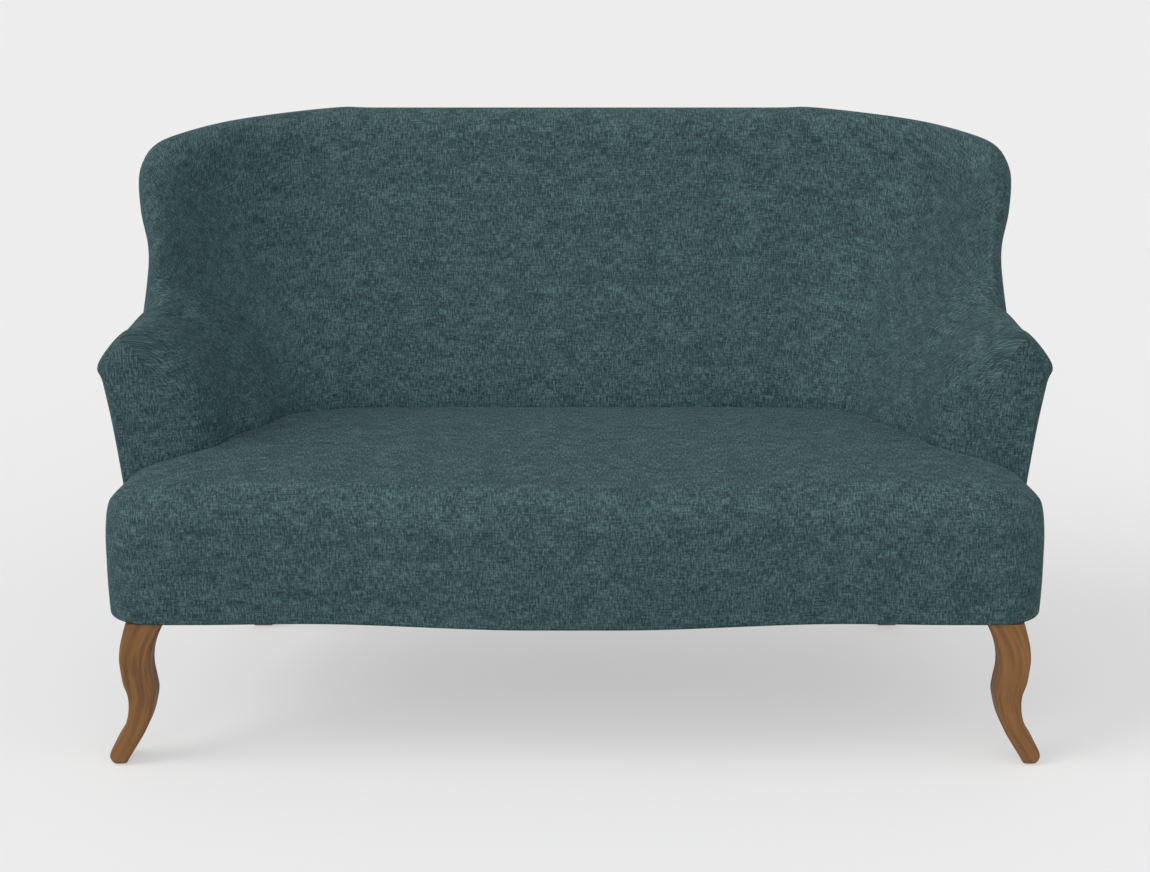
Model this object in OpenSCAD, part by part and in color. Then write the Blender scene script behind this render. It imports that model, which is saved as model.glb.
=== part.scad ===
// High back settee with a tight bowed seat, rolled arms, low wings and sawn cabriole legs.
// Millimetres. +Z is up, the front faces -Y, and the origin is the bottom centre of its box.
// Soft pieces follow one surface that runs round the arms, wings and back: s goes along the rim
// from one arm front to the other, and t goes from the outside foot over the rim to the seat.

/* [Seat] */
// Width across the seat front at its widest
seat_w = 1540; // [1400:10:1700]
// Depth from the seat front to the inside back at seat height
seat_d = 535; // [500:5:570]
// Height of the middle of the seat above the floor
seat_h = 487; // [470:1:505]
// Height of the upholstered seat from its underside to its middle
seat_thick = 240; // [220:1:262]
// Forward bow of the seat front at its middle
front_bow = 30; // [5:1:45]
// Forward flare of the seat front beside its corners
corner_flare = 5; // [0:1:12]
// Plan radius of the front corners of the seat
corner_r = 85; // [70:1:100]
// Reach inwards of the rounded top edge of the seat
edge_w = 55; // [40:1:65]
// Reach downwards of the rounded top edge of the seat
edge_h = 75; // [50:1:90]
// Reach inwards of the fall of the seat top at its sides
side_fall_w = 145; // [110:1:160]
// Fall of the seat top at its sides
side_fall_h = 80; // [60:1:86]
// Fall of the crown of the seat towards its front and its back
seat_crown = 15; // [5:1:22]
// Outward bulge of the front border
border_bulge = 4; // [1:0.5:8]
// Draw-in of the sides of the seat where they meet the arms
side_in = 22; // [10:1:26]
// Draw-in of the seat sides at the arms, level with the arms' feet
side_in_top = 13; // [6:1:20]
// Turn-in of the cover at the foot of the border
hem_in = 6; // [3:0.5:9]

/* [Arms] */
// Distance from the seat front to the flat face of the arms
nose_d = 190; // [170:5:215]
// How far the inside faces of the arms stand in from the sides of the seat
arm_in_w = 180; // [150:1:185]
// How far the inside corners at the back stand in from the inside faces of the arms
corner_step = 81; // [65:1:95]
// Thickness of an arm at its front, from the inside face to the outermost point
arm_t = 201; // [185:1:215]
// How far the foot of an arm stands in under its outermost point
arm_overhang = 49; // [35:1:60]
// How far the arm draws in from its front to the wing
arm_taper = 46; // [35:1:55]
// Height of the arm top at its front above the middle of the seat
arm_over_seat = 200; // [185:1:215]
// Plan radius of the round inner corner of the arm front
arm_inner_r = 95; // [75:1:110]
// Radius of the outer corner of the arm front
arm_outer_r = 15; // [10:1:18]

/* [Back and wings] */
// Overall height at the top of the back
back_h = 990; // [970:1:1010]
// Rake of the inside back from upright, in degrees
back_rake = 14; // [12:0.5:16]
// How far the wings stand in from the outside of the arms
wing_in = 27.5; // [20:0.5:35]
// Width of each side of the back, from the outside of the wing to the flat middle
wing_side_w = 343.5; // [320:0.5:370]
// Forward reach of the wings in front of the flat back
wing_reach = 154; // [140:1:168]
// Thickness of the back at its top
crest_t = 98; // [90:1:106]
// Thickness of the back at its foot
back_foot_t = 105; // [95:1:115]

/* [Covers and padding] */
// Thickness of the woven cover
cover_t = 2.5; // [1.5:0.5:3]
// Clearance between layers
fit = 0.3; // [0.2:0.1:0.5]
// Thickness of the padding round the rim and the arm tops
rim_pad = 20; // [14:1:22]
// Thickness of the padding of the inside back and the inside arms
inside_pad = 40; // [34:1:44]
// Clearance between the seat and the arms and back round it
tuck_fit = 1; // [0.5:0.1:2]
// Thickness of the dust cover
dust_t = 1.5; // [1:0.5:2]

/* [Frame] */
// Thickness of the seat rails
rail_t = 32; // [26:1:36]
// Height of the seat rails
rail_h = 92; // [80:1:96]
// Width of a back post
post_w = 42; // [34:1:48]
// Depth of a back post
post_d = 45; // [38:1:48]
// Depth of the rails under the rim
rim_rail_d = 22; // [16:1:26]
// Width of the centre brace of the seat
brace_w = 60; // [45:1:75]
// Height of the centre brace of the seat
brace_h = 40; // [30:1:50]
// Side length of a corner block
block_l = 60; // [40:1:80]
// Height of the lower back rail and the arm tacking rails
tack_rail_h = 38; // [30:1:42]
// Thickness of the arm tacking rails
tack_rail_t = 20; // [16:1:24]

/* [Webbing] */
// Width of the elastic webbing
web_w = 50; // [40:2:60]
// Thickness of the elastic webbing
web_t = 2; // [1.5:0.5:2.5]
// Number of straps from the front rail to the rear rail
seat_straps = 14; // [10:2:16]
// Number of straps across the seat
cross_straps = 4; // [3:1:4]
// Number of straps across the back
back_straps = 5; // [3:1:6]
// Thickness of the platform cloths
cloth_t = 1; // [0.8:0.1:1.5]

/* [Legs] */
// Width of a front leg at its top
leg_top_w = 62; // [54:1:68]
// Thickness of a front leg from front to back
leg_t = 54; // [46:1:60]
// Distance from the side of the seat to the centre of the top of a front leg
leg_in = 72; // [68:1:100]
// Outward sweep of the foot from the top of the leg
leg_sweep = 54; // [30:1:70]
// Distance from the seat front back to the front legs
leg_back = 1; // [0:1:6]
// Distance from the side of the seat to the centre of a rear leg
rear_leg_in = 167; // [155:1:195]
// Width of a rear leg
rear_leg_w = 42; // [36:1:46]
// Depth of a rear leg at its top
rear_leg_top = 44; // [38:1:48]
// Depth of a rear leg at its foot
rear_leg_foot = 34; // [28:1:40]
// Backward splay of a rear leg
rear_splay = 50; // [20:1:60]
// Diameter of a foot glide
glide_d = 16; // [12:1:18]
// Thickness of a foot glide
glide_t = 2; // [1.5:0.5:3]

/* [Leg bolts] */
// Diameter of a leg bolt
bolt_d = 8; // [6:1:10]
// Length of bolt inside the leg
bolt_in = 45; // [35:1:60]
// Length of bolt inside the rail
bolt_up = 50; // [35:1:60]
// Clearance round a bolt in its hole
bolt_fit = 0.3; // [0.2:0.1:0.5]

/* [Hidden] */
$fn = 48;

fabric = [0.25, 0.34, 0.345];
leg_wood = [0.43, 0.31, 0.2];
beech = [0.78, 0.64, 0.46];
foam = [0.93, 0.88, 0.7];
black = [0.1, 0.1, 0.1];
steel = [0.62, 0.63, 0.65];

// Overrun for cuts
over = 1;

// Small sums on points
function mix(a, b, f) = a + (b - a) * f;
function unit(v) = v / norm(v);
function smooth(f) = let(q = min(max(f, 0), 1)) q * q * (3 - 2 * q);
function mirrored(p) = [-p[0], p[1], p[2]];

// Catmull-Rom curve through a list of points, at f from 0 to the last index
function curve(pts, f) =
    let(
        last = len(pts) - 1,
        i = min(floor(f), last - 1),
        q = f - i,
        b = pts[i],
        c = pts[i + 1],
        a = i == 0 ? 2 * b - c : pts[i - 1],
        d = i + 2 > last ? 2 * c - b : pts[i + 2]
    )
    (2 * b + (c - a) * q + (2 * a - 5 * b + 4 * c - d) * q * q
        + (3 * b - a - 3 * c + d) * q * q * q) / 2;

// Plan of the seat front: a bow in the middle, quarter points at y = 0, and round corners
seat_half = seat_w / 2;
quarter_share = 0.57;
flare_share = 0.8;
bow_flat_share = 0.15;
corner_x = seat_half - corner_r;
function bow_y(x) =
    let(q = abs(x) / seat_half)
    q < quarter_share
        ? front_bow * (smooth((q / quarter_share - bow_flat_share) / (1 - bow_flat_share)) - 1)
        : -corner_flare * smooth((q - quarter_share) / (flare_share - quarter_share));
function front_y(x) =
    let(past = min(max(abs(x) - corner_x, 0), corner_r))
    bow_y(min(abs(x), corner_x)) + corner_r - sqrt(corner_r * corner_r - past * past);

// Heights where the inside surfaces stand upright, and where they end below the seat
upright_share = 0.87;
tuck_share = 4;
base_h = seat_h - seat_thick;
arm_h = seat_h + arm_over_seat;
upright_h = seat_h + upright_share * seat_crown;
tuck_h = seat_h - tuck_share * seat_crown;

// Inside back: a raked plane whose sides reach forward into the wings
arm_in = seat_half - arm_in_w;
arm_out = arm_in + arm_t;
wing_half = arm_out - wing_in;
flat_half = wing_half - wing_side_w;
wrap_share = 0.757;
wrap_power_share = 2.3;
wrap_w = wrap_share * wing_side_w;
// Low down the corner between the back and an arm is filled to a hollow curve
corner_fill = 45;
fill_in = 40;
fill_w = 117;
fill_h = 300;
function rake_y(z) = seat_d + (max(z, upright_h) - seat_h) * tan(back_rake);
function fill_at(x, z) =
    corner_fill * smooth((abs(x) - flat_half + fill_in) / fill_w)
        * (1 - smooth((z - upright_h) / fill_h));
function inside_y(x, z) =
    rake_y(z) - fill_at(x, z)
        - wing_reach * pow(max(abs(x) - flat_half, 0) / wrap_w, wrap_power_share);

// Cross-section of an arm. Outer points run from the foot to the outermost point, and inner points
// run over the top to the seat. Each has its share across, its share up and its share from the
// outer line to the inner line in plan. The foot of the arm has a line of its own.
arm_outer_shares = [
    [0, 0, 0], [0.33, 0.35, 0], [0.62, 0.62, 0.05], [0.88, 0.8, 0.15], [1, 0.875, 0.3]
];
arm_inner_shares = [[0.7, 1, 0.4], [0.46, 0.965, 0.6], [0.25, 0.88, 0.85], [0.08, 0.74, 1]];
arm_last_shares = [[0.82, 1, 0.37], [0.63, 0.97, 0.6], [0.41, 0.87, 0.85], [0.18, 0.72, 1]];
function arm_row(inner_shares, y_foot, y_out, y_in, x_in, x_foot, x_out, top) =
    concat(
        [for (p = arm_outer_shares)
            [
                mix(x_foot, x_out, p[0]),
                mix(y_foot, mix(y_out, y_in, p[2]), sqrt(p[1])),
                mix(base_h, top, p[1])
            ]],
        [for (p = inner_shares)
            [mix(x_in, x_out, p[0]), mix(y_out, y_in, p[2]), mix(base_h, top, p[1])]],
        [[x_in, y_in, upright_h], [x_in, y_in, tuck_h]]
    );

// Round front end of the arm, at an angle from its flat face to its side
function front_row(angle) =
    let(
        deep = arm_inner_r * (1 - cos(angle)),
        inner = arm_inner_r * (1 - sin(angle)),
        past = min(deep, arm_outer_r),
        outer = arm_outer_r - sqrt(arm_outer_r * arm_outer_r - pow(arm_outer_r - past, 2)),
        y = nose_d + deep,
        x_out = arm_out - outer
    )
    arm_row(
        arm_inner_shares, y, y, y, arm_in + inner, arm_out - arm_overhang, x_out, arm_h - outer
    );

// Two more arm sections behind it, with shares of the way to the corner of the seat for the outer
// line, the inner line, the inner line across, the taper, the rise of the arm top and the foot
corner_in = arm_in - corner_step;
arm_rise = 18;
rim_lead = 40;
arm_way_shares = [[0.142, 0.314, 0.617, 0.4, 0.3, 0.175], [0.296, 0.614, 1, 0.85, 1, 0.472]];
arm_rows = [
    for (p = arm_way_shares)
        let(
            y_in = mix(nose_d + arm_inner_r, seat_d, p[1]),
            y_foot = mix(nose_d + arm_inner_r, seat_d, p[5]),
            y_out = mix(nose_d + arm_inner_r, seat_d, p[0]) - rim_lead * p[4],
            x_in = mix(arm_in, corner_in, p[2]),
            x_out = arm_out - arm_taper * p[3]
        )
        arm_row(
            arm_last_shares,
            y_foot, y_out, y_in, x_in, x_out - arm_overhang, x_out, arm_h + arm_rise * p[4]
        )
];

// Wing and crest sections, from the foot of the wing to the middle of the back. The shares give
// the rim point, the outer shoulder, the outer foot, the inner shoulder and the inner foot. Across,
// they are shares of the width of a side, from the outside of the wing. Forwards, they are shares
// of the reach of the wing, from the raked plane, and at the foot shares of the thickness there.
// Upwards, they are shares of the way from the arm top to the top of the back.
wing_foot_h = arm_h + arm_rise;
wing_shares = [
    [[0.12, 1.341, 0.132], [0.053, 1.116, 0.104], [0.227, -0.459], [0.22, 0.104], 0.776],
    [[0.12, 1.258, 0.305], [0.049, 1.027, 0.295], [0.253, 0.102], [0.238, 0.295], 0.812],
    [[0.087, 1.231, 0.51], [0.009, 0.974, 0.503], [0.278, 0.51], [0.213, 0.503], 0.827],
    [[0.069, 1.216, 0.712], [0, 0.901, 0.698], [0.316, 0.815], [0.191, 0.691], 0.841],
    [[0.087, 1.004, 0.847], [0.044, 0.582, 0.774], [0.373, 0.968], [0.211, 0.781], 0.856],
    [[0.213, 0.686, 0.91], [0.184, 0.256, 0.844], [0.476, 0.999], [0.3, 0.84], 0.87],
    [[0.476, 0.192, 0.962], [0.476, -0.177, 0.892], [0.649, 0.999], [0.518, 0.892], 0.884]
];
function wing_x(f) = wing_half - f * wing_side_w;
function wing_z(f) = mix(wing_foot_h, back_h, f);
function wing_point(p) =
    let(z = wing_z(p[2]))
    [wing_x(p[0]), rake_y(z) - p[1] * wing_reach, z];
// Shares along a section: outside from the shoulder to the foot, and inside from the shoulder to
// the seat across and down
outside_shares = [0.1, 0.4, 0.7];
inside_shares = [[0.25, 0.15], [0.62, 0.48]];
function row_from(rim, outer, foot, inner, x_in) =
    concat(
        [foot],
        [for (i = [2:-1:0]) mix(outer, foot, outside_shares[i])],
        [outer, rim, [inner[0], inside_y(inner[0], inner[1]), inner[1]]],
        [for (p = inside_shares)
            let(x = mix(inner[0], x_in, p[0]), z = mix(inner[1], upright_h, p[1]))
            [x, inside_y(x, z), z]],
        [[x_in, inside_y(x_in, upright_h), upright_h], [x_in, inside_y(x_in, upright_h), tuck_h]]
    );
wing_rows = [
    for (p = wing_shares)
        row_from(
            wing_point(p[0]),
            wing_point(p[1]),
            [wing_x(p[2][0]), seat_d + p[2][1] * back_foot_t, base_h],
            [wing_x(p[3][0]), wing_z(p[3][1])],
            wing_x(p[4])
        )
];
crest_h = back_h - crest_t / 4;
function crest_row(x) =
    let(y = inside_y(x, crest_h))
    row_from(
        [x, y + crest_t / 2, back_h],
        [x, y + crest_t, crest_h],
        [x, seat_d + back_foot_t, base_h],
        [x, crest_h],
        x
    );
crest_shares = [0.934, 1.2];
crest_rows = concat([for (f = crest_shares) crest_row(wing_x(f))], [crest_row(0)]);

half_rows = concat([for (a = [0:30:90]) front_row(a)], arm_rows, wing_rows, crest_rows);
half_last = len(half_rows) - 1;
all_rows = concat(half_rows, [for (i = [half_last - 1:-1:0]) [for (p = half_rows[i]) mirrored(p)]]);
t_last = len(half_rows[0]) - 1;

// Point of the surface at s and t, and its outward normal from small steps either side
function row_at(s) = [for (j = [0:t_last]) curve([for (r = all_rows) r[j]], s)];
step_share = 0.02;
function shell_row(s, ts, depths) =
    let(
        here = row_at(s),
        before = row_at(max(s - step_share, 0)),
        after = row_at(s + step_share)
    )
    [
        for (j = [0:len(ts) - 1])
            let(
                t = ts[j],
                p = curve(here, t),
                along = curve(after, t) - curve(before, t),
                up = curve(here, min(t + step_share, t_last)) - curve(here, max(t - step_share, 0))
            )
            p + unit(cross(up, along)) * depths[j]
    ];

// Places along the rim where pieces meet, in sections, and the small gap left there
post_share = 2;
seam_share = 6;
rear_share = 10.5;
s_mid = half_last;
gap_share = 0.004;
pad_gap_share = 0.05;
bend_share = 3;
rail_end_share = 5;
split_share = 3.4;

// Stations of the pieces. An inner layer uses stations of the layer over it, so that their flat
// facets stay apart.
arm_rim_shares = [
    0, 0.5, 1, 1.5, post_share, post_share + pad_gap_share, 3, 4, 4.5, rail_end_share, 5.5,
    seam_share - gap_share
];
wing_rim_shares = [6.5, 7, 7.5, 8, 8.5, 9, 9.5, 10, rear_share, 11, 11.5, 12, 12.5, 13, 13.5, 14];
function both_ways(list) =
    concat(list, [s_mid], [for (i = [len(list) - 1:-1:0]) 2 * s_mid - list[i]]);
back_rim_shares = both_ways(
    concat([seam_share + gap_share, seam_share + pad_gap_share], wing_rim_shares)
);
arm_rail_shares = [for (s = arm_rim_shares) if (s > post_share && s <= rail_end_share) s];
arm_pad_shares = concat(arm_rail_shares, [5.5, seam_share - pad_gap_share]);
back_pad_shares = both_ways(concat([seam_share + pad_gap_share], wing_rim_shares));
post_rim_shares = [for (s = arm_rim_shares) if (s > 0 && s <= post_share) s];
outside_wing_shares = concat(
    [for (s = wing_rim_shares) if (s < rear_share) s],
    [rear_share - gap_share]
);
wing_frame_shares = outside_wing_shares;
crest_rail_shares = both_ways(
    concat([rear_share + gap_share], [for (s = wing_rim_shares) if (s > rear_share) s])
);
outside_arm_shares = concat(
    arm_rim_shares,
    [seam_share + gap_share, seam_share + pad_gap_share],
    outside_wing_shares
);
outside_back_shares = crest_rail_shares;
outline_shares = concat(
    [for (s = arm_rim_shares) if (s >= bend_share && s < seam_share - 2 * gap_share) s],
    [seam_share],
    wing_rim_shares,
    [s_mid]
);
shoulder_share = 4;
inside_cross_shares = [split_share, 3.8, 4.2, 4.6, 5, 5.4, 5.8, 6.3, 7, 7.7, 8.4, 9.2, 10];
padded_cross_shares = [for (t = inside_cross_shares) if (t > shoulder_share) t];
rim_cross_shares = [4.2, 4.6, 5, 5.4, 5.8];
outside_cross_shares = [0, 0.8, 1.6, 2.4, 3, split_share];
post_cross_shares = [0.8, 1.6, 2.4, 3, split_share, 3.8, 4.2, 4.6, 5, 5.4, 5.8, 6.3, 7, 7.7, 8.4, 10];
panel_cross_shares = [
    0.9, 1.6, 2.4, 3, split_share, 3.8, 4.2, 4.6, 5, 5.4, 5.8, 6.3, 7, 7.7, 8.4, 9.2, 10
];

// Closed solid through loops of points. Each loop is two runs of equal length, out and back, so
// its ends close like the rungs of a ladder. The facets of both runs are split the same way, so
// that layers stay apart, and turn over at the middle of a piece that goes across both sides.
module loft(loops, both = false) {
    n = len(loops);
    m = len(loops[0]);
    turn = both ? (n - 1) / 2 : n;
    sides = [
        for (i = [0:n - 2])
            for (k = [0:m - 1])
                let(a = i * m + k, b = i * m + (k + 1) % m, c = a + m, d = b + m)
                each ((k < m / 2) == (i < turn) ? [[a, b, d], [a, d, c]] : [[a, b, c], [b, d, c]])
    ];
    ends = [
        for (e = [0, 1])
            for (k = [0:m / 2 - 2])
                let(
                    z = e * (n - 1) * m,
                    a = z + k,
                    b = z + k + 1,
                    c = z + m - 2 - k,
                    d = z + m - 1 - k
                )
                each (e == 0 ? [[a, d, b], [b, d, c]] : [[a, b, d], [b, c, d]])
    ];
    polyhedron(points = [for (l = loops) each l], faces = concat(sides, ends));
}

function backwards(list) = [for (i = [len(list) - 1:-1:0]) list[i]];

// Sheet of the surface between two depths below it
module sheet(ss, ts, near, far) {
    loft([
        for (s = ss)
            concat(shell_row(s, ts, [for (t = ts) near]), backwards(shell_row(s, ts, far)))
    ], ss[len(ss) - 1] > s_mid);
}

// Places the model over its origin: the middle of its depth at y = 0
rear_y = max([for (t = concat(outside_cross_shares, inside_cross_shares)) curve(row_at(s_mid), t)[1]]);
mid_y = (rear_y - front_bow - border_bulge) / 2;
module placed() {
    translate([0, -mid_y, 0]) children();
}
module left_of() {
    mirror([1, 0, 0]) children();
}

// Covers of the inside back and arms, their paddings, and the outside panels
under_cover = cover_t + fit;
pad_from_share = 5.8;
pad_to_share = 7.7;
function pad_depths(ts) = [
    for (t = ts)
        let(f = (t - pad_from_share) / (pad_to_share - pad_from_share))
        under_cover + mix(rim_pad, inside_pad, smooth(f))
];
module inside_cover(ss) {
    color(fabric) placed() sheet(ss, inside_cross_shares, 0, [for (t = inside_cross_shares) cover_t]);
}
module padding(ss) {
    color(foam) placed() sheet(ss, padded_cross_shares, under_cover + fit, pad_depths(padded_cross_shares));
}
module outside_cover(ss) {
    color(fabric) placed() sheet(ss, outside_cross_shares, 0, [for (t = outside_cross_shares) cover_t]);
}

module inside_back_cover() {
    inside_cover(back_rim_shares);
}
module right_inside_arm_cover() {
    inside_cover(arm_rim_shares);
}
module left_inside_arm_cover() {
    left_of() right_inside_arm_cover();
}
module back_padding() {
    padding(back_pad_shares);
}
module right_arm_padding() {
    padding(arm_pad_shares);
}
module left_arm_padding() {
    left_of() right_arm_padding();
}
module right_outside_arm_cover() {
    outside_cover(outside_arm_shares);
}
module left_outside_arm_cover() {
    left_of() right_outside_arm_cover();
}
module outside_back_cover() {
    outside_cover(outside_back_shares);
}

// Flat panel on the front of an arm, inside the edge of the arm covers
module right_arm_front_panel() {
    face = shell_row(0, panel_cross_shares, [for (t = panel_cross_shares) under_cover]);
    color(fabric)
        placed()
            translate([0, nose_d + cover_t - fit, 0])
                rotate([90, 0, 0])
                    linear_extrude(cover_t) polygon([for (p = face) [p[0], p[2]]]);
}
module left_arm_front_panel() {
    left_of() right_arm_front_panel();
}

// Facing board of an arm: the arm section inside the cover, standing on the side rail
function post_loop(s) =
    let(
        p = shell_row(s, post_cross_shares, [for (t = post_cross_shares) under_cover]),
        foot = shell_row(s, [0], [under_cover])[0]
    )
    concat([[foot[0], foot[1], rail_top]], p, [[foot[0] - rail_t, foot[1], rail_top]]);
module right_arm_post() {
    color(beech) placed() loft([for (s = post_rim_shares) post_loop(s)]);
}
module left_arm_post() {
    left_of() right_arm_post();
}

// Rails under the rim: they follow it under the padding, with a flat underside
rim_depth = under_cover + rim_pad + fit;
function rim_loop(s) =
    let(
        top = shell_row(s, rim_cross_shares, [for (t = rim_cross_shares) rim_depth]),
        last = len(rim_cross_shares) - 1,
        first_p = top[0],
        last_p = top[last],
        down = unit((first_p + last_p) / 2 - top[last / 2]) * rim_rail_d
    )
    concat(top, [for (j = [last:-1:0]) mix(first_p, last_p, j / last) + down]);
module rim_rail(ss) {
    color(beech) placed() loft([for (s = ss) rim_loop(s)], ss[len(ss) - 1] > s_mid);
}
module right_arm_rail() {
    rim_rail(arm_rail_shares);
}
module left_arm_rail() {
    left_of() right_arm_rail();
}
module right_wing_frame() {
    rim_rail(wing_frame_shares);
}
module left_wing_frame() {
    left_of() right_wing_frame();
}
module top_back_rail() {
    rim_rail(crest_rail_shares);
}

// Plan of the base: bowed front, round corners, drawn-in sides and the feet of arms and back
function outline_half(d, t, lean) =
    concat(
        [for (f = [0:0.1:1]) [f * corner_x, bow_y(f * corner_x) + d + hem_in]],
        [for (a = [15:15:90])
            let(r = corner_r - d - hem_in)
            [corner_x + r * sin(a), bow_y(corner_x) + corner_r - r * cos(a)]],
        [[seat_half - side_in - d - hem_in, nose_d - arm_outer_r]],
        [for (s = outline_shares) let(p = shell_row(s, [t], [d + lean])[0]) [p[0], p[1]]]
    );
module outline(d, t = 0, lean = 0) {
    right = outline_half(d, t, lean);
    polygon(concat(right, backwards([for (p = right) [-p[0], p[1]]])));
}

// Seat rails: one ring inside the outline, cut into four
rail_top_share = outside_cross_shares[1];
rail_lean = 4;
rail_in = hem_in + under_cover;
rail_top = base_h + rail_h;
rear_rail_y = seat_d + back_foot_t - under_cover - rail_t;
module rail_plan(d) {
    intersection() {
        outline(d);
        outline(d, rail_top_share, rail_lean);
    }
}
module rail_ring() {
    difference() {
        translate([0, 0, base_h]) linear_extrude(rail_h) rail_plan(under_cover);
        translate([0, 0, base_h - over])
            linear_extrude(rail_h + 2 * over) rail_plan(under_cover + rail_t);
    }
}
module front_seat_rail() {
    color(beech)
        placed()
            intersection() {
                rail_ring();
                translate([-corner_x, -corner_r, base_h])
                    cube([2 * corner_x, corner_r + nose_d / 2, rail_h]);
            }
}
module rear_seat_rail() {
    color(beech)
        placed()
            difference() {
                intersection() {
                    rail_ring();
                    translate([-seat_half, rear_rail_y, base_h]) cube([seat_w, seat_d, rail_h]);
                }
                for (side = [-1, 1]) rear_bolt(side, bolt_fit);
            }
}
module right_seat_rail() {
    color(beech)
        placed()
            difference() {
                intersection() {
                    rail_ring();
                    union() {
                        translate([corner_x, -corner_r, base_h])
                            cube([seat_half, corner_r + nose_d / 2, rail_h]);
                        translate([rear_leg_x, nose_d / 2, base_h])
                            cube([seat_half, rear_rail_y - nose_d / 2, rail_h]);
                    }
                }
                front_bolt(1, bolt_fit);
            }
}
module left_seat_rail() {
    left_of() right_seat_rail();
}

// Corner blocks, glued in the corners inside the rails
side_in_front = corner_x + corner_r - rail_in - rail_t;
side_in_rear = shell_row(rear_share, [0], [under_cover + rail_t])[0][0];
module corner_blocks() {
    color(beech)
        placed()
            translate([0, 0, base_h])
                linear_extrude(block_h)
                    intersection() {
                        rail_plan(under_cover + rail_t + fit);
                        for (side = [-1, 1]) {
                            polygon([
                                [side * (side_in_front - corner_r - block_l), -corner_r],
                                [side * seat_half, -corner_r],
                                [side * seat_half, corner_r + block_l],
                                [side * (side_in_front - fit), corner_r + block_l]
                            ]);
                            polygon([
                                [side * (side_in_rear - 2 * block_l), rear_rail_y],
                                [side * seat_half, rear_rail_y],
                                [side * seat_half, rear_rail_y - 2 * block_l]
                            ]);
                        }
                    }
}
block_h = rail_h - brace_h / 2;
module seat_brace() {
    start = rail_in + rail_t - front_bow + fit;
    color(beech)
        placed()
            translate([-brace_w / 2, start, base_h]) cube([brace_w, rear_rail_y - start, brace_h]);
}

// Tacking rails under the inside arms and the inside back
tack_z = tuck_h - fit - tack_rail_h;
function tuck_line(ss, d) = [for (s = ss) let(p = shell_row(s, [t_last], [d])[0]) [p[0], p[1]]];
module right_arm_tacking_rail() {
    color(beech)
        placed()
            translate([0, 0, tack_z])
                linear_extrude(tack_rail_h)
                    polygon(concat(
                        tuck_line(arm_pad_shares, under_cover),
                        backwards(tuck_line(arm_pad_shares, under_cover + tack_rail_t))
                    ));
}
module left_arm_tacking_rail() {
    left_of() right_arm_tacking_rail();
}
module lower_back_rail() {
    line = tuck_line(back_rim_shares, under_cover);
    rear = post_front_y(tack_z);
    color(beech)
        placed()
            translate([0, 0, tack_z])
                linear_extrude(tack_rail_h)
                    polygon(concat([[line[0][0], rear]], line, [[-line[0][0], rear]]));
}

// Back posts and centre stile, parallel to the outside back
outside_slope = (inside_y(0, crest_h) + crest_t - seat_d - back_foot_t) / (crest_h - base_h);
outside_angle = atan(outside_slope);
function post_rear_y(z) =
    seat_d + back_foot_t + (z - base_h) * outside_slope - under_cover / cos(outside_angle);
function post_front_y(z) = post_rear_y(z) - post_d;
post_top = min([for (p = rim_loop(s_mid)) p[2]]) - fit;
post_x = flat_half - post_w / 2;
strap_lap = rail_t / 2;
notch_y = rear_rail_y + strap_lap + fit;
notch_z = rail_top + web_t + fit;
module back_upright(x) {
    color(beech)
        placed()
            translate([x - post_w / 2, 0, 0])
                rotate([90, 0, 90])
                    linear_extrude(post_w)
                        polygon([
                            [notch_y, rail_top],
                            [post_rear_y(rail_top), rail_top],
                            [post_rear_y(post_top), post_top],
                            [post_front_y(post_top), post_top],
                            [post_front_y(notch_z), notch_z],
                            [notch_y, notch_z]
                        ]);
}
module right_back_post() {
    back_upright(post_x);
}
module left_back_post() {
    back_upright(-post_x);
}
module centre_back_stile() {
    back_upright(0);
}

// Webbing: seat straps lie on the rails, cross straps on the seat straps, back straps on the posts
strap_span = 2 * (corner_in - web_w / 2);
module seat_webbing() {
    rear = rear_rail_y + strap_lap;
    color(black)
        placed()
            for (i = [0:seat_straps - 1]) {
                x = mix(-strap_span / 2, strap_span / 2, i / (seat_straps - 1));
                front = bow_y(x) + rail_in + rail_t - strap_lap;
                translate([x - web_w / 2, front, rail_top]) cube([web_w, rear - front, web_t]);
            }
}
side_table = [for (s = outline_shares) let(p = shell_row(s, [rail_top_share], [0])[0]) [p[1], p[0]]];
function side_x(y) = lookup(y, side_table);
module seat_cross_webbing() {
    first = nose_d + 2 * web_w;
    last = rear_rail_y - web_w;
    color(black)
        placed()
            for (i = [0:cross_straps - 1]) {
                f = i / (cross_straps - 1);
                y = mix(first, last, f);
                reach = side_x(y + web_w / 2) - under_cover - strap_lap;
                translate([-reach, y - web_w / 2, rail_top + web_t]) cube([2 * reach, web_w, web_t]);
            }
}
cloth_z = rail_top + 2 * web_t;
foam_z = cloth_z + cloth_t;
module seat_platform_cloth() {
    front = rail_in + rail_t;
    color([0.7, 0.62, 0.48])
        placed()
            translate([-strap_span / 2, front, cloth_z])
                cube([strap_span, rear_rail_y - front, cloth_t]);
}
module on_post_fronts(z) {
    translate([0, post_front_y(z), z]) rotate([-outside_angle, 0, 0]) children();
}
back_web_low = upright_h;
back_web_high = post_top - 2 * web_w;
module back_webbing() {
    color(black)
        placed()
            for (i = [0:back_straps - 1])
                on_post_fronts(mix(back_web_low, back_web_high, i / (back_straps - 1)))
                    translate([-flat_half, -web_t, 0]) cube([2 * flat_half, web_t, web_w]);
}
module back_platform_cloth() {
    reach = flat_half - post_w / 2;
    color([0.7, 0.62, 0.48])
        placed()
            on_post_fronts(back_web_low)
                translate([-reach, -web_t - cloth_t, 0])
                    cube([2 * reach, cloth_t, back_web_high + web_w - back_web_low]);
}

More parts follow.
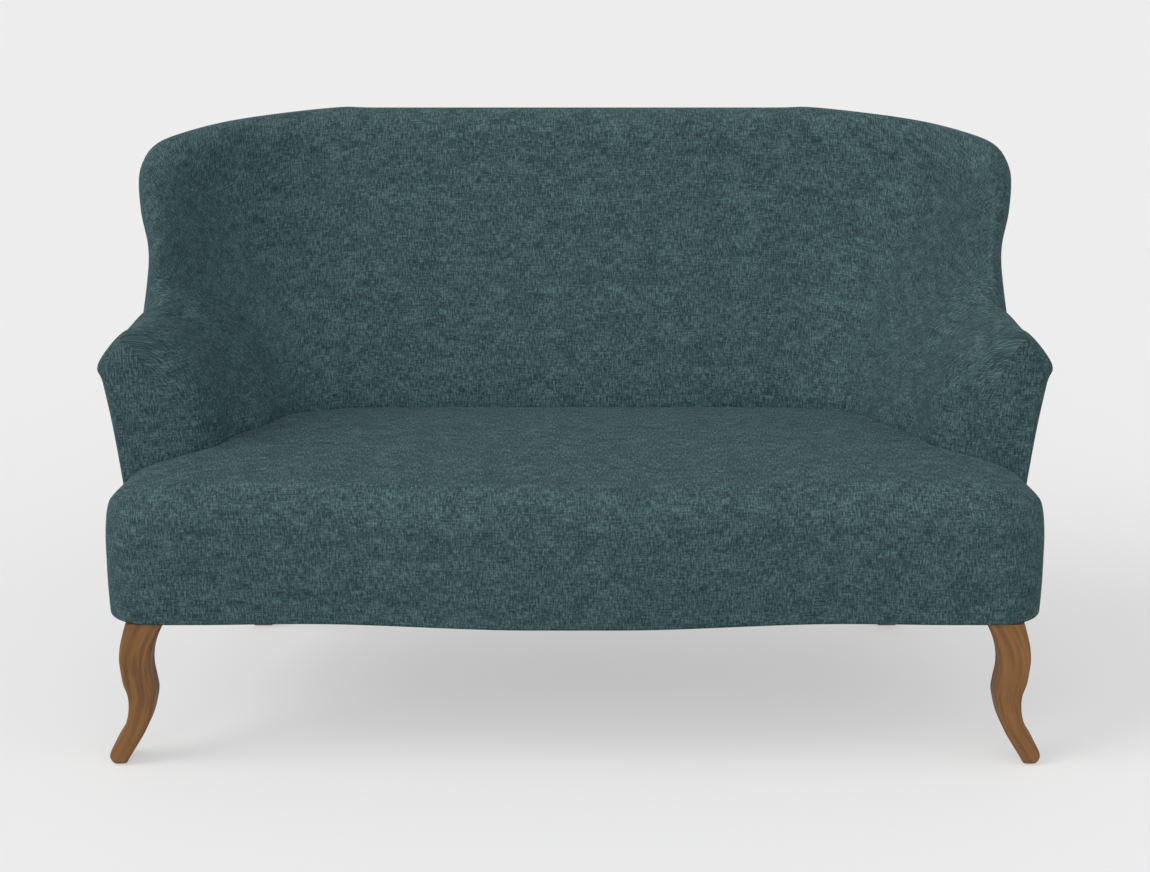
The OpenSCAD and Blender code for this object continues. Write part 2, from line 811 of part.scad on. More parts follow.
// Seat section at x: outer points from the foot of the border over the edge to the rear tuck
side_from = seat_half - side_fall_w;
side_fall_power_shares = [1.2, 0.34];
function side_fall(x) =
    let(q = pow(min(max(abs(x) - side_from, 0) / side_fall_w, 1), side_fall_power_shares[0]))
    side_fall_h * (1 - pow(1 - q, side_fall_power_shares[1]));
crown_y = seat_d / 2;
function crown_z(x, y) = seat_h - seat_crown * pow((y - crown_y) / crown_y, 2) - side_fall(x);
// The back bulges furthest towards the seat at seat_line_share, just under the top of the seat
seat_line_share = 9.35;
rear_table = [
    for (s = backwards(concat(arm_rim_shares, wing_rim_shares, [s_mid])))
        let(p = shell_row(s, [seat_line_share], [-tuck_fit])[0])
        [p[0], p[1]]
];
rear_x_most = rear_table[len(rear_table) - 1][0];
function seat_rear_y(x) =
    abs(x) >= rear_x_most ? nose_d - tuck_fit : lookup(abs(x), rear_table);
edge_angles = [0:22.5:90];
last_share = 0.87;
top_shares = [0.35, 0.7, 1];
function seat_section(x, last_z) =
    let(
        front = front_y(x),
        rear = seat_rear_y(x),
        edge_y = front + edge_w,
        edge_z = crown_z(x, edge_y),
        foot_z = edge_z - edge_h
    )
    concat(
        [
            [front + hem_in, base_h],
            [front, base_h + 2 * hem_in],
            [front - border_bulge, (base_h + foot_z) / 2]
        ],
        [for (a = edge_angles) [edge_y - edge_w * cos(a), foot_z + edge_h * sin(a)]],
        [for (f = top_shares) let(y = mix(edge_y, rear, f)) [y, crown_z(x, y)]],
        [[rear, last_z]]
    );
function tuck_z(x) = tuck_h - side_fall(x);
last_x = seat_half - (1 - last_share) * edge_w;
// A run of points moved inwards, at right angles to its neighbours
function inset(run, d) = [
    for (i = [0:len(run) - 1])
        let(
            a = run[max(i - 1, 0)],
            b = run[min(i + 1, len(run) - 1)],
            v = unit(b - a)
        )
        run[i] + d * [v[1], -v[0]]
];
// The sides of the seat draw in towards the arms
draw_power_share = 8;
draw_top_power_share = 32;
function drawn_in(x, y, z) =
    let(
        far = abs(x) / seat_half,
        up = min(max((z - base_h) / (tuck_h - base_h), 0), 1),
        all_up = side_in * pow(far, draw_power_share),
        less = (side_in - side_in_top) * up * pow(far, draw_top_power_share),
        back = smooth((y - corner_r) / (nose_d - corner_r))
    )
    x * (1 - (all_up - less) / seat_half * back);
function in_place(x, run) = [for (p = run) [drawn_in(x, p[0], p[1]), p[0], p[1]]];
function cover_loop(x) =
    let(run = seat_section(x, abs(x) > last_x ? base_h : tuck_z(x)), last = len(run) - 1)
    concat(
        in_place(x, run),
        backwards(in_place(x, abs(x) < seat_half
            ? inset(run, cover_t)
            : [for (j = [0:last]) mix(run[0], run[last], (j + 1) / (last + 2)) + [cover_t, 0]]))
    );
// Stations across the seat: over the middle, along the arms, round the arm fronts and the sides
right_xs = concat(
    [for (f = [0.2, 0.4, 0.6, 0.8, 0.9, 0.97, 1]) f * corner_in],
    [for (f = [0.25, 0.55, 1]) mix(corner_in, arm_in, f)],
    [for (f = [0.1, 0.25, 0.5, 1]) arm_in + f * arm_inner_r],
    [for (f = [0.2, 0.4, 0.6, 0.8, 0.92, 1]) mix(arm_in + arm_inner_r, last_x, f)]
);
cover_xs = concat(right_xs, [seat_half - cover_t, seat_half]);
function both_sides(xs) = concat([for (x = backwards(xs)) -x], [0], xs);
module seat_cover() {
    color(fabric)
        placed()
            loft([for (x = both_sides(cover_xs)) cover_loop(x)], true);
}

// Seat foam under it, down to the platform cloth
foam_end_x = seat_half - under_cover - cover_t;
function foam_section(x) =
    abs(x) <= last_x
        ? inset(seat_section(x, tuck_z(x)), under_cover)
        : let(end_x = seat_half - cover_t)
        mix(
            inset(seat_section(last_x, tuck_z(last_x)), under_cover),
            inset(seat_section(end_x, tuck_z(end_x)), under_cover),
            (abs(x) - last_x) / (end_x - last_x)
        );
function foam_loop(x) =
    let(
        run = foam_section(x),
        last = len(run) - 1,
        edge = [for (j = [2:7]) [run[j][1], run[j][0]]],
        front = [lookup(foam_z, edge), foam_z],
        rear = [run[last][0], foam_z],
        upper = concat([front], [
            for (j = [3:last])
                let(z = foam_z + (j - 2) * fit)
                run[j][1] < z ? [lookup(z, edge), z] : run[j]
        ]),
        count = len(upper)
    )
    in_place(x, concat(upper, [for (j = [0:count - 1]) mix(rear, front, j / count)]));
module seat_foam() {
    xs = concat(right_xs, [foam_end_x]);
    color(foam)
        placed()
            loft([for (x = both_sides(xs)) foam_loop(x)], true);
}

// Dust cover, cut out round the legs
dust_in = 12;
leg_gap = 2;
module dust_cover() {
    color(black)
        placed()
            difference() {
                translate([0, 0, base_h - dust_t]) linear_extrude(dust_t) outline(dust_in);
                for (side = [-1, 1])
                    translate([0, 0, base_h - dust_t - over])
                        linear_extrude(dust_t + 2 * over) {
                            translate([side * leg_x - leg_top_w / 2 - leg_gap, leg_back - over])
                                square([leg_top_w + 2 * leg_gap, leg_t + over + leg_gap]);
                            translate([
                                side * rear_leg_x - rear_leg_w / 2 - leg_gap,
                                rear_leg_y - rear_leg_top - leg_gap
                            ])
                                square([
                                    rear_leg_w + 2 * leg_gap,
                                    rear_leg_top + 2 * leg_gap + dust_in
                                ]);
                        }
            }
}

// Front legs, sawn to a cabriole outline. The shares give height, sweep and width down the leg.
leg_x = seat_half - leg_in;
leg_shares = [
    [1, 0, 1], [0.915, 0.16, 0.92], [0.83, 0.287, 0.86], [0.743, 0.352, 0.82],
    [0.657, 0.343, 0.785], [0.571, 0.287, 0.79], [0.486, 0.21, 0.725], [0.4, 0.241, 0.655],
    [0.314, 0.333, 0.62], [0.228, 0.509, 0.62], [0.143, 0.741, 0.63], [0.057, 0.944, 0.56],
    [0, 0.965, 0.34]
];
leg_side = [for (f = [0:1 / 3:len(leg_shares) - 1]) curve(leg_shares, f)];
function leg_point(p, side) = [
    leg_x + p[1] * leg_sweep + side * p[2] * leg_top_w / 2,
    mix(glide_t, base_h, p[0])
];
module front_right_leg() {
    color(leg_wood)
        placed()
            difference() {
                translate([0, leg_back + leg_t, 0])
                    rotate([90, 0, 0])
                        linear_extrude(leg_t)
                            polygon(concat(
                                [for (p = leg_side) leg_point(p, 1)],
                                backwards([for (p = leg_side) leg_point(p, -1)])
                            ));
                front_bolt(1, bolt_fit);
            }
}
module front_left_leg() {
    left_of() front_right_leg();
}

// Rear legs, square and splayed back
rear_leg_x = seat_half - rear_leg_in;
rear_leg_y = seat_d + back_foot_t - under_cover;
rear_foot_y = rear_leg_y + rear_splay;
module rear_right_leg() {
    color(leg_wood)
        placed()
            difference() {
                translate([rear_leg_x - rear_leg_w / 2, 0, 0])
                    rotate([90, 0, 90])
                        linear_extrude(rear_leg_w)
                            polygon([
                                [rear_leg_y - rear_leg_top, base_h],
                                [rear_leg_y, base_h],
                                [rear_foot_y, glide_t],
                                [rear_foot_y - rear_leg_foot, glide_t]
                            ]);
                rear_bolt(1, bolt_fit);
            }
}
module rear_left_leg() {
    left_of() rear_right_leg();
}

// Bolts from the legs up into the rails
bolt_x = corner_x + leg_top_w / 4;
module leg_bolt(x, y, gap) {
    translate([x, y, base_h - bolt_in]) cylinder(d = bolt_d + 2 * gap, h = bolt_in + bolt_up);
}
module front_bolt(side, gap) {
    leg_bolt(side * bolt_x, bow_y(corner_x) + rail_in + rail_t / 2, gap);
}
module rear_bolt(side, gap) {
    leg_bolt(side * rear_leg_x, rear_rail_y + rail_t / 2, gap);
}
module leg_bolts() {
    color(steel)
        placed()
            for (side = [-1, 1]) {
                front_bolt(side, 0);
                rear_bolt(side, 0);
            }
}

// Glides under the feet
foot_x = leg_x + leg_shares[len(leg_shares) - 1][1] * leg_sweep;
module foot_glides() {
    color(steel)
        placed()
            for (side = [-1, 1]) {
                translate([side * foot_x, leg_back + leg_t / 2, 0]) cylinder(d = glide_d, h = glide_t);
                translate([side * rear_leg_x, rear_foot_y - rear_leg_foot / 2, 0])
                    cylinder(d = glide_d, h = glide_t);
            }
}

seat_cover();
inside_back_cover();
outside_back_cover();
left_inside_arm_cover();
right_inside_arm_cover();
left_outside_arm_cover();
right_outside_arm_cover();
left_arm_front_panel();
right_arm_front_panel();
dust_cover();
seat_foam();
back_padding();
left_arm_padding();
right_arm_padding();
front_seat_rail();
rear_seat_rail();
left_seat_rail();
right_seat_rail();
corner_blocks();
seat_brace();
left_arm_post();
right_arm_post();
left_arm_rail();
right_arm_rail();
left_arm_tacking_rail();
right_arm_tacking_rail();
left_wing_frame();
right_wing_frame();
top_back_rail();
left_back_post();
right_back_post();
centre_back_stile();
lower_back_rail();
seat_webbing();
seat_cross_webbing();
seat_platform_cloth();
back_webbing();
back_platform_cloth();
front_left_leg();
front_right_leg();
rear_left_leg();
rear_right_leg();
leg_bolts();
foot_glides();
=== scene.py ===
"""High back settee, dressed for rendering: fabric, legs, linings, stage and camera."""

import math

import bpy
import numpy as np
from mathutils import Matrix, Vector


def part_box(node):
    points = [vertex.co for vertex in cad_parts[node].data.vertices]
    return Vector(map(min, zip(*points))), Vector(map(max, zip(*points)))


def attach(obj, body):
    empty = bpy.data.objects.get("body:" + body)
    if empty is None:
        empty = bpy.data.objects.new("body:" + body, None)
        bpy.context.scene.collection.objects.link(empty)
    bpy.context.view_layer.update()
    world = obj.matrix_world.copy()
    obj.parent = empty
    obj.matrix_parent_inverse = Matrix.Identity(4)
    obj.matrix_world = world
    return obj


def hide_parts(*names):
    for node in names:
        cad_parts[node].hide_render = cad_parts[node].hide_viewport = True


bl_info = {
    "name": "High back settee",
    "version": (1, 0, 0),
    "blender": (4, 5, 0),
    "location": "View3D > Sidebar > Settee",
    "description": "Builds the upholstery, the legs and the stage of a high back settee",
    "category": "Object",
}

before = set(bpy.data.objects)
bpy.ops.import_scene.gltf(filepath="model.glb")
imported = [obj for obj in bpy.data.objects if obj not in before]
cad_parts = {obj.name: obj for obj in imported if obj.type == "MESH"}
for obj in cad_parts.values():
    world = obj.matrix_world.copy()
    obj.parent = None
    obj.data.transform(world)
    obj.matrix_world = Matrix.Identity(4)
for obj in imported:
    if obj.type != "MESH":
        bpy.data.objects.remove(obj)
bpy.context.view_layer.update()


# Settings

def length(name, text, value):
    """A size in metres."""
    return bpy.props.FloatProperty(name=name, description=text, default=value, unit="LENGTH",
                                   precision=4)


def colour(name, text, value):
    """A linear colour."""
    return bpy.props.FloatVectorProperty(name=name, description=text, default=value,
                                         subtype="COLOR", size=3, min=0, max=1)


class SetteeSizes(bpy.types.PropertyGroup):
    """Sizes of the settee, as the solids have them."""

    seat_w: length("Seat width", "Width across the seat front", 1.54)
    seat_d: length("Seat depth", "From the seat front to the inside back", 0.535)
    seat_h: length("Seat height", "Height of the middle of the seat", 0.487)
    base_h: length("Base height", "Height of the underside of the upholstery", 0.247)
    front_bow: length("Front bow", "Forward bow of the seat front", 0.03)
    corner_flare: length("Corner flare", "Forward flare beside the front corners", 0.005)
    corner_r: length("Corner radius", "Plan radius of the front corners", 0.085)
    edge_w: length("Edge width", "Reach inwards of the rounded seat edge", 0.055)
    edge_h: length("Edge height", "Reach downwards of the rounded seat edge", 0.075)
    side_fall_w: length("Side fall width", "Reach inwards of the fall at the sides", 0.145)
    side_fall_h: length("Side fall height", "Fall of the seat top at its sides", 0.08)
    seat_crown: length("Seat crown", "Fall of the seat to its front and back", 0.015)
    border_bulge: length("Border bulge", "Outward bulge of the front border", 0.004)
    side_in: length("Side draw-in", "Draw-in of the seat sides at the arms", 0.022)
    side_in_top: length("Top draw-in", "The same, level with the arms' feet", 0.013)
    hem_in: length("Hem", "Turn-in of the cover at its foot", 0.006)
    nose_d: length("Arm set-back", "From the seat front to the face of the arms", 0.19)
    arm_in: length("Half arm gap", "Half the clear width between the arms", 0.59)
    corner_in: length("Half corner gap", "Half the width between the rear corners", 0.522)
    arm_t: length("Arm thickness", "Thickness of an arm at its front", 0.201)
    arm_overhang: length("Arm overhang", "How far an arm's foot stands in", 0.049)
    arm_taper: length("Arm taper", "How far an arm draws in to the wing", 0.046)
    arm_h: length("Arm height", "Height of an arm at its front", 0.687)
    arm_inner_r: length("Arm inner radius", "Inner corner of the arm front", 0.095)
    arm_outer_r: length("Arm outer radius", "Outer corner of the arm front", 0.015)
    back_h: length("Back height", "Overall height", 0.99)
    back_rake: bpy.props.FloatProperty(name="Back rake", description="Lean of the inside back",
                                       default=math.radians(14), subtype="ANGLE")
    wing_half: length("Half wing width", "Half the width across the wings", 0.7635)
    flat_half: length("Half flat width", "Half the flat middle of the back", 0.42)
    wing_reach: length("Wing reach", "Forward reach of the wings", 0.154)
    corner_fill: length("Corner fill", "Fill of the corner between back and arm", 0.045)
    crest_t: length("Crest thickness", "Thickness of the back at its top", 0.098)
    back_foot_t: length("Back foot", "Thickness of the back at its foot", 0.105)
    cover_t: length("Cover thickness", "Thickness of the woven cover", 0.0025)
    under_cover: length("Cover and clearance", "Depth of the first thing under it", 0.0028)
    rim_pad: length("Rim padding", "Padding round the rim", 0.02)
    inside_pad: length("Inside padding", "Padding of the inside faces", 0.04)
    tuck_fit: length("Tuck", "Clearance round the seat", 0.001)
    foam_foot: length("Foam foot", "Height of the underside of the seat foam", 0.344)
    groove: length("Groove", "Radius of the rolled edges beside a seam", 0.0038)
    leg_x: length("Front leg place", "From the middle to a front leg's top", 0.698)
    leg_top_w: length("Front leg width", "Width of a front leg at its top", 0.062)
    leg_t: length("Front leg thickness", "From front to back", 0.054)
    leg_back: length("Front leg set-back", "From the seat front to the legs", 0.001)
    leg_sweep: length("Leg sweep", "Outward sweep of the foot", 0.054)
    leg_soft: length("Leg edge", "Radius of the softened leg edges", 0.0065)
    rear_leg_x: length("Rear leg place", "From the middle to a rear leg", 0.603)
    rear_leg_w: length("Rear leg width", "Width of a rear leg", 0.042)
    rear_leg_top: length("Rear leg top", "Depth of a rear leg at its top", 0.044)
    rear_leg_foot: length("Rear leg foot", "Depth of a rear leg at its foot", 0.034)
    rear_splay: length("Rear splay", "Backward splay of a rear leg", 0.05)
    glide_t: length("Glide thickness", "Thickness of a glide", 0.002)


class SetteeColours(bpy.types.PropertyGroup):
    """Colours of the settee's finishes."""

    slub: colour("Slub", "Darkest threads of the cover", (0.024, 0.047, 0.050))
    fleck: colour("Fleck", "Lightest threads of the cover", (0.090, 0.158, 0.161))
    wood: colour("Leg wood", "Lacquered leg wood", (0.230, 0.108, 0.037))
    wood_dark: colour("Leg grain", "Dark grain of the leg wood", (0.130, 0.058, 0.020))
    beech: colour("Beech", "Frame wood", (0.52, 0.34, 0.17))
    beech_dark: colour("Beech grain", "Grain of the frame wood", (0.36, 0.21, 0.10))
    lining: colour("Lining", "Dust cover", (0.012, 0.012, 0.013))
    webbing: colour("Webbing", "Elastic webbing", (0.02, 0.02, 0.02))
    cloth: colour("Platform cloth", "Coarse plain cloth", (0.32, 0.23, 0.13))
    steel: colour("Steel", "Zinc plated steel", (0.55, 0.56, 0.58))
    floor: colour("Floor", "Studio floor", (0.90, 0.90, 0.90))
    bounce: colour("Bounce", "Floor as it lights the settee", (0.38, 0.38, 0.38))
    backdrop: colour("Backdrop", "What shows beyond the floor", (0.84, 0.84, 0.84))


def sizes():
    """The settee's sizes, as the panel has them."""
    return bpy.context.scene.settee_sizes


def colours():
    """The settee's colours, as the panel has them."""
    return bpy.context.scene.settee_colours


# Small sums

TINY = 1e-12


def mix(a, b, f):
    """From a to b by the share f."""
    return a + (b - a) * f


def smooth(f):
    """Rises from 0 to 1 as 3f^2 - 2f^3, and is level outside."""
    q = np.clip(f, 0, 1)
    return q * q * (3 - 2 * q)


def unit(v):
    """Each vector over its own length."""
    return v / np.maximum(np.linalg.norm(v, axis=-1, keepdims=True), TINY)


def weights(f, count):
    """Weights of each control point at places f, one row a place, for the cubic curve through
    all the points whose slope at each is half the step between its two neighbours. The curve
    runs on straight past its ends."""
    f = np.asarray(f, float)
    i = np.clip(np.floor(f).astype(int), 0, count - 2)
    q = f - i
    w = np.zeros((len(f), count + 2))
    rows = np.arange(len(f))
    w[rows, i] = (-q + 2 * q ** 2 - q ** 3) / 2
    w[rows, i + 1] = (2 - 5 * q ** 2 + 3 * q ** 3) / 2
    w[rows, i + 2] = (q + 4 * q ** 2 - 3 * q ** 3) / 2
    w[rows, i + 3] = (-q ** 2 + q ** 3) / 2
    w[:, 1] += 2 * w[:, 0]
    w[:, 2] -= w[:, 0]
    w[:, count] += 2 * w[:, count + 1]
    w[:, count - 1] -= w[:, count + 1]
    return w[:, 1:count + 1]


def run_lengths(points, axis):
    """Length along a grid from its first line to each line, along one axis."""
    steps = np.linalg.norm(np.diff(points, axis=axis), axis=-1)
    start = np.zeros_like(np.take(steps, [0], axis=axis))
    return np.cumsum(np.concatenate([start, steps], axis=axis), axis=axis)


# Distances from an edge, in metres, at which a mesh has lines, so that the edge can roll
EDGE_STEPS = (0, 0.0004, 0.001, 0.0017, 0.0025, 0.0034, 0.0046, 0.0065, 0.0095)


def stations(line, step, close_first=True, close_last=True):
    """Places along a line of points, from 0 to 1: even steps, and small steps near the ends."""
    done = run_lengths(line, 0)
    total = done[-1]
    first = np.array(EDGE_STEPS if close_first else (0,))
    last = total - np.array(EDGE_STEPS if close_last else (0,))[::-1]
    count = max(2, int(round((last[0] - first[-1]) / step)))
    places = np.concatenate([first, np.linspace(first[-1], last[0], count + 1)[1:-1], last])
    return np.interp(places, done, np.linspace(0, 1, len(line)))


# The surface round the arms and the back

# Points of an arm section: share of the way out, of the height, and of the way to its inner side
ARM_OUTER_SHARES = np.array([
    (0, 0, 0), (.33, .35, 0), (.62, .62, .05), (.88, .8, .15), (1, .875, .3)])
ARM_INNER_SHARES = np.array([(.7, 1, .4), (.46, .965, .6), (.25, .88, .85), (.08, .74, 1)])
ARM_LAST_SHARES = np.array([(.82, 1, .37), (.63, .97, .6), (.41, .87, .85), (.18, .72, 1)])
# Sections along an arm: how far its outer side, the depth and the width of its inner side, its
# taper, its rise and its foot have gone on the way to the wing
ARM_WAY_SHARES = ((.142, .314, .617, .4, .3, .175), (.296, .614, 1, .85, 1, .472))
# Angles of the sections round the arm's inner front corner, in degrees
FACE_ANGLES = (0, 30, 60, 90)
# What an arm rises, and what its outer side leads forward, on the way to the wing
ARM_RISE, RIM_LEAD = .018, .04
# The wing's reach comes over this share of the width beside the flat back, to this power
WRAP_SHARE, WRAP_POWER = .757, 2.3
# The corner fill: how far inside the flat back it starts, its width and its height
FILL_IN, FILL_W, FILL_H = .04, .117, .3
UPRIGHT_SHARE, TUCK_SHARE = .87, 4
CREST_DROP_SHARE = 1 / 4
# Points between the named ones of a wing section: down its outside, and down its inside as shares
# of the way across and of the way down
OUTSIDE_SHARES = (.7, .4, .1)
INSIDE_SHARES = ((.25, .15), (.62, .48))
# Rim, outer shoulder, outer foot, inner shoulder and inner foot of each wing section
WING_SHARES = (
    ((.12, 1.341, .132), (.053, 1.116, .104), (.227, -.459), (.22, .104), .776),
    ((.12, 1.258, .305), (.049, 1.027, .295), (.253, .102), (.238, .295), .812),
    ((.087, 1.231, .51), (.009, .974, .503), (.278, .51), (.213, .503), .827),
    ((.069, 1.216, .712), (0, .901, .698), (.316, .815), (.191, .691), .841),
    ((.087, 1.004, .847), (.044, .582, .774), (.373, .968), (.211, .781), .856),
    ((.213, .686, .91), (.184, .256, .844), (.476, .999), (.3, .84), .87),
    ((.476, .192, .962), (.476, -.177, .892), (.649, .999), (.518, .892), .884),
)
# Crest sections beside the middle one, as shares of the width beside the flat back
CREST_SHARES = (.934, 1.2)
# Lines of the net: s runs from the face of an arm round to the middle of the back, and t from the
# outer foot over the rim to the seat. The covers meet at SEAM, REAR and SPLIT.
MIDDLE, LAST_T = 15, 10
SEAM, REAR, SPLIT = 6, 10.5, 3.4
# Step in s and t for a normal, and how finely a line is measured
NET_STEP, FINE = .02, 1500


def upright_h():
    """Height under which the inside faces stand upright: a share of the crown over the seat."""
    z = sizes()
    return z.seat_h + UPRIGHT_SHARE * z.seat_crown


def tuck_h():
    """Height of the foot of the inside faces, some crowns under the seat."""
    z = sizes()
    return z.seat_h - TUCK_SHARE * z.seat_crown


def front_line():
    """y of the seat front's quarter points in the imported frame."""
    z = sizes()
    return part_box("seat_cover")[0][1] + z.front_bow + z.border_bulge


def rake_y(z):
    """y of the inside back: the seat depth, and the rake times the height over the seat."""
    s = sizes()
    return s.seat_d + (np.maximum(z, upright_h()) - s.seat_h) * math.tan(s.back_rake)


def inside_y(x, z):
    """The raked plane, less the fill of the low corners, and less the wing reach times a power
    of the way from the flat middle."""
    s = sizes()
    wrap_w = WRAP_SHARE * (s.wing_half - s.flat_half)
    fill = (s.corner_fill * smooth((abs(x) - s.flat_half + FILL_IN) / FILL_W)
            * (1 - smooth((z - upright_h()) / FILL_H)))
    wrap = s.wing_reach * (np.maximum(abs(x) - s.flat_half, 0) / wrap_w) ** WRAP_POWER
    return rake_y(z) - fill - wrap


def arm_row(inner_shares, y_foot, y_out, y_in, x_in, x_foot, x_out, top):
    """One arm section: outer points from the foot up, inner points over the top to the seat. x
    is a share of the way from foot or inner side to the outer side, z one from base to top, and
    y one from the outer to the inner side, which outside starts at the foot and comes with the
    square root of the height."""
    s = sizes()
    out, high, way = ARM_OUTER_SHARES.T
    outer = np.stack([mix(x_foot, x_out, out),
                      mix(y_foot, mix(y_out, y_in, way), np.sqrt(high)),
                      mix(s.base_h, top, high)], -1)
    out, high, way = inner_shares.T
    inner = np.stack([mix(x_in, x_out, out), mix(y_out, y_in, way), mix(s.base_h, top, high)],
                     -1)
    return np.concatenate([outer, inner, [(x_in, y_in, upright_h()), (x_in, y_in, tuck_h())]])


def wing_row(rim, outer, foot, inner, x_in):
    """One wing or crest section. Outside, points lie at shares of the line from shoulder to
    foot. Inside, they go in x and z by shares from the inner shoulder to the inner foot, and
    their y is that of the inside back."""
    rim, outer, foot = np.array(rim), np.array(outer), np.array(foot)
    points = [foot] + [mix(outer, foot, f) for f in OUTSIDE_SHARES] + [outer, rim]
    points.append((inner[0], inside_y(inner[0], inner[1]), inner[1]))
    for across, down in INSIDE_SHARES:
        x, z = mix(inner[0], x_in, across), mix(inner[1], upright_h(), down)
        points.append((x, inside_y(x, z), z))
    y = inside_y(x_in, upright_h())
    points += [(x_in, y, upright_h()), (x_in, y, tuck_h())]
    return np.array(points)


def shell_rows():
    """The net of 31 sections by 11 points that the curved surface passes through: four round
    the arm's face, where both corners are quarter circles, two along the arm, seven up the
    wing, three over the crest with the last in the middle, and the others mirrored."""
    s = sizes()
    arm_out = s.arm_in + s.arm_t
    rows = []
    for angle in np.radians(FACE_ANGLES):
        deep = s.arm_inner_r * (1 - math.cos(angle))
        inner = s.arm_inner_r * (1 - math.sin(angle))
        past = min(deep, s.arm_outer_r)
        outer = s.arm_outer_r - math.sqrt(s.arm_outer_r ** 2 - (s.arm_outer_r - past) ** 2)
        y = s.nose_d + deep
        rows.append(arm_row(ARM_INNER_SHARES, y, y, y, s.arm_in + inner, arm_out - s.arm_overhang,
                            arm_out - outer, s.arm_h - outer))
    start = s.nose_d + s.arm_inner_r
    for out, in_y, in_x, taper, rise, foot in ARM_WAY_SHARES:
        x_out = arm_out - s.arm_taper * taper
        rows.append(arm_row(ARM_LAST_SHARES, mix(start, s.seat_d, foot),
                            mix(start, s.seat_d, out) - RIM_LEAD * rise,
                            mix(start, s.seat_d, in_y), mix(s.arm_in, s.corner_in, in_x),
                            x_out - s.arm_overhang, x_out, s.arm_h + ARM_RISE * rise))
    side = s.wing_half - s.flat_half
    foot_h = s.arm_h + ARM_RISE

    def place(p):
        """Shares of width, reach and height, as a point."""
        z = mix(foot_h, s.back_h, p[2])
        return (s.wing_half - p[0] * side, rake_y(z) - p[1] * s.wing_reach, z)

    for rim, outer, foot, inner, x_in in WING_SHARES:
        rows.append(wing_row(place(rim), place(outer),
                             (s.wing_half - foot[0] * side, s.seat_d + foot[1] * s.back_foot_t,
                              s.base_h),
                             (s.wing_half - inner[0] * side, mix(foot_h, s.back_h, inner[1])),
                             s.wing_half - x_in * side))
    crest_h = s.back_h - s.crest_t * CREST_DROP_SHARE
    for x in [s.wing_half - f * side for f in CREST_SHARES] + [0]:
        y = inside_y(x, crest_h)
        rows.append(wing_row((x, y + s.crest_t / 2, s.back_h), (x, y + s.crest_t, crest_h),
                             (x, s.seat_d + s.back_foot_t, s.base_h), (x, crest_h), x))
    rows = np.array(rows)
    rows = np.concatenate([rows, rows[-2::-1] * (-1, 1, 1)])
    return rows + (0, front_line(), 0)


def shell(net, s, t):
    """Points of the surface at every s and t, as cubic weights of the net both ways, and its
    outward normals, from the cross product of small steps along it and up it."""
    def at(s_places, t_places):
        """The net's points, each times its weight along s and its weight along t, and summed."""
        return np.einsum("ma,nb,abk->mnk", weights(s_places, len(net)),
                         weights(t_places, net.shape[1]), net)

    along = at(s + NET_STEP, t) - at(np.maximum(s - NET_STEP, 0), t)
    up = at(s, np.minimum(t + NET_STEP, LAST_T)) - at(s, np.maximum(t - NET_STEP, 0))
    return at(s, t), unit(np.cross(along, up))


def shell_lines(net, s_range, t_range, step, s_ref, t_ref, close):
    """Places in s and t for a piece, even along one line each way. close says which of its four
    edges get small steps."""
    many = np.linspace(0, 1, FINE)
    s_all, t_all = mix(*s_range, many), mix(*t_range, many)
    s_line = shell(net, s_all, np.array([t_ref]))[0][:, 0]
    t_line = shell(net, np.array([s_ref]), t_all)[0][0]
    s = mix(*s_range, stations(s_line, step, close[0], close[1]))
    t = mix(*t_range, stations(t_line, step, close[2], close[3]))
    return s, t


def roll(distance, radius):
    """Depth of a quarter-round edge: radius less the height of a circle over the distance."""
    q = np.clip(1 - distance / radius, 0, 1)
    return radius * (1 - np.sqrt(np.maximum(1 - q * q, 0)))


def rolled_depth(points, strengths, radius):
    """Depth over a grid, the most of what its four edges give. Each edge rolls down by its
    strength, a number or a row along it, in the order first s, last s, first t, last t."""
    along, across = run_lengths(points, 0), run_lengths(points, 1)
    spans = (along, along[-1:] - along, across, across[:, -1:] - across)
    depth = np.zeros(points.shape[:2])
    for span, strength, axis in zip(spans, strengths, (0, 0, 1, 1)):
        strength = np.asarray(strength, float)
        if strength.ndim:
            strength = strength[None, :] if axis == 0 else strength[:, None]
        depth = np.maximum(depth, strength * roll(span, radius))
    return depth


# Meshes

# Points closer than 5 micrometres are one
MERGE_PER_METRE = 2e5


def grid_faces(count_s, count_t, first, flip):
    """Quads between the lines of a grid, whose points are numbered from first."""
    a = first + np.arange(count_s * count_t).reshape(count_s, count_t)
    quads = np.stack([a[:-1, :-1], a[1:, :-1], a[1:, 1:], a[:-1, 1:]], -1).reshape(-1, 4)
    return quads[:, ::-1] if flip else quads


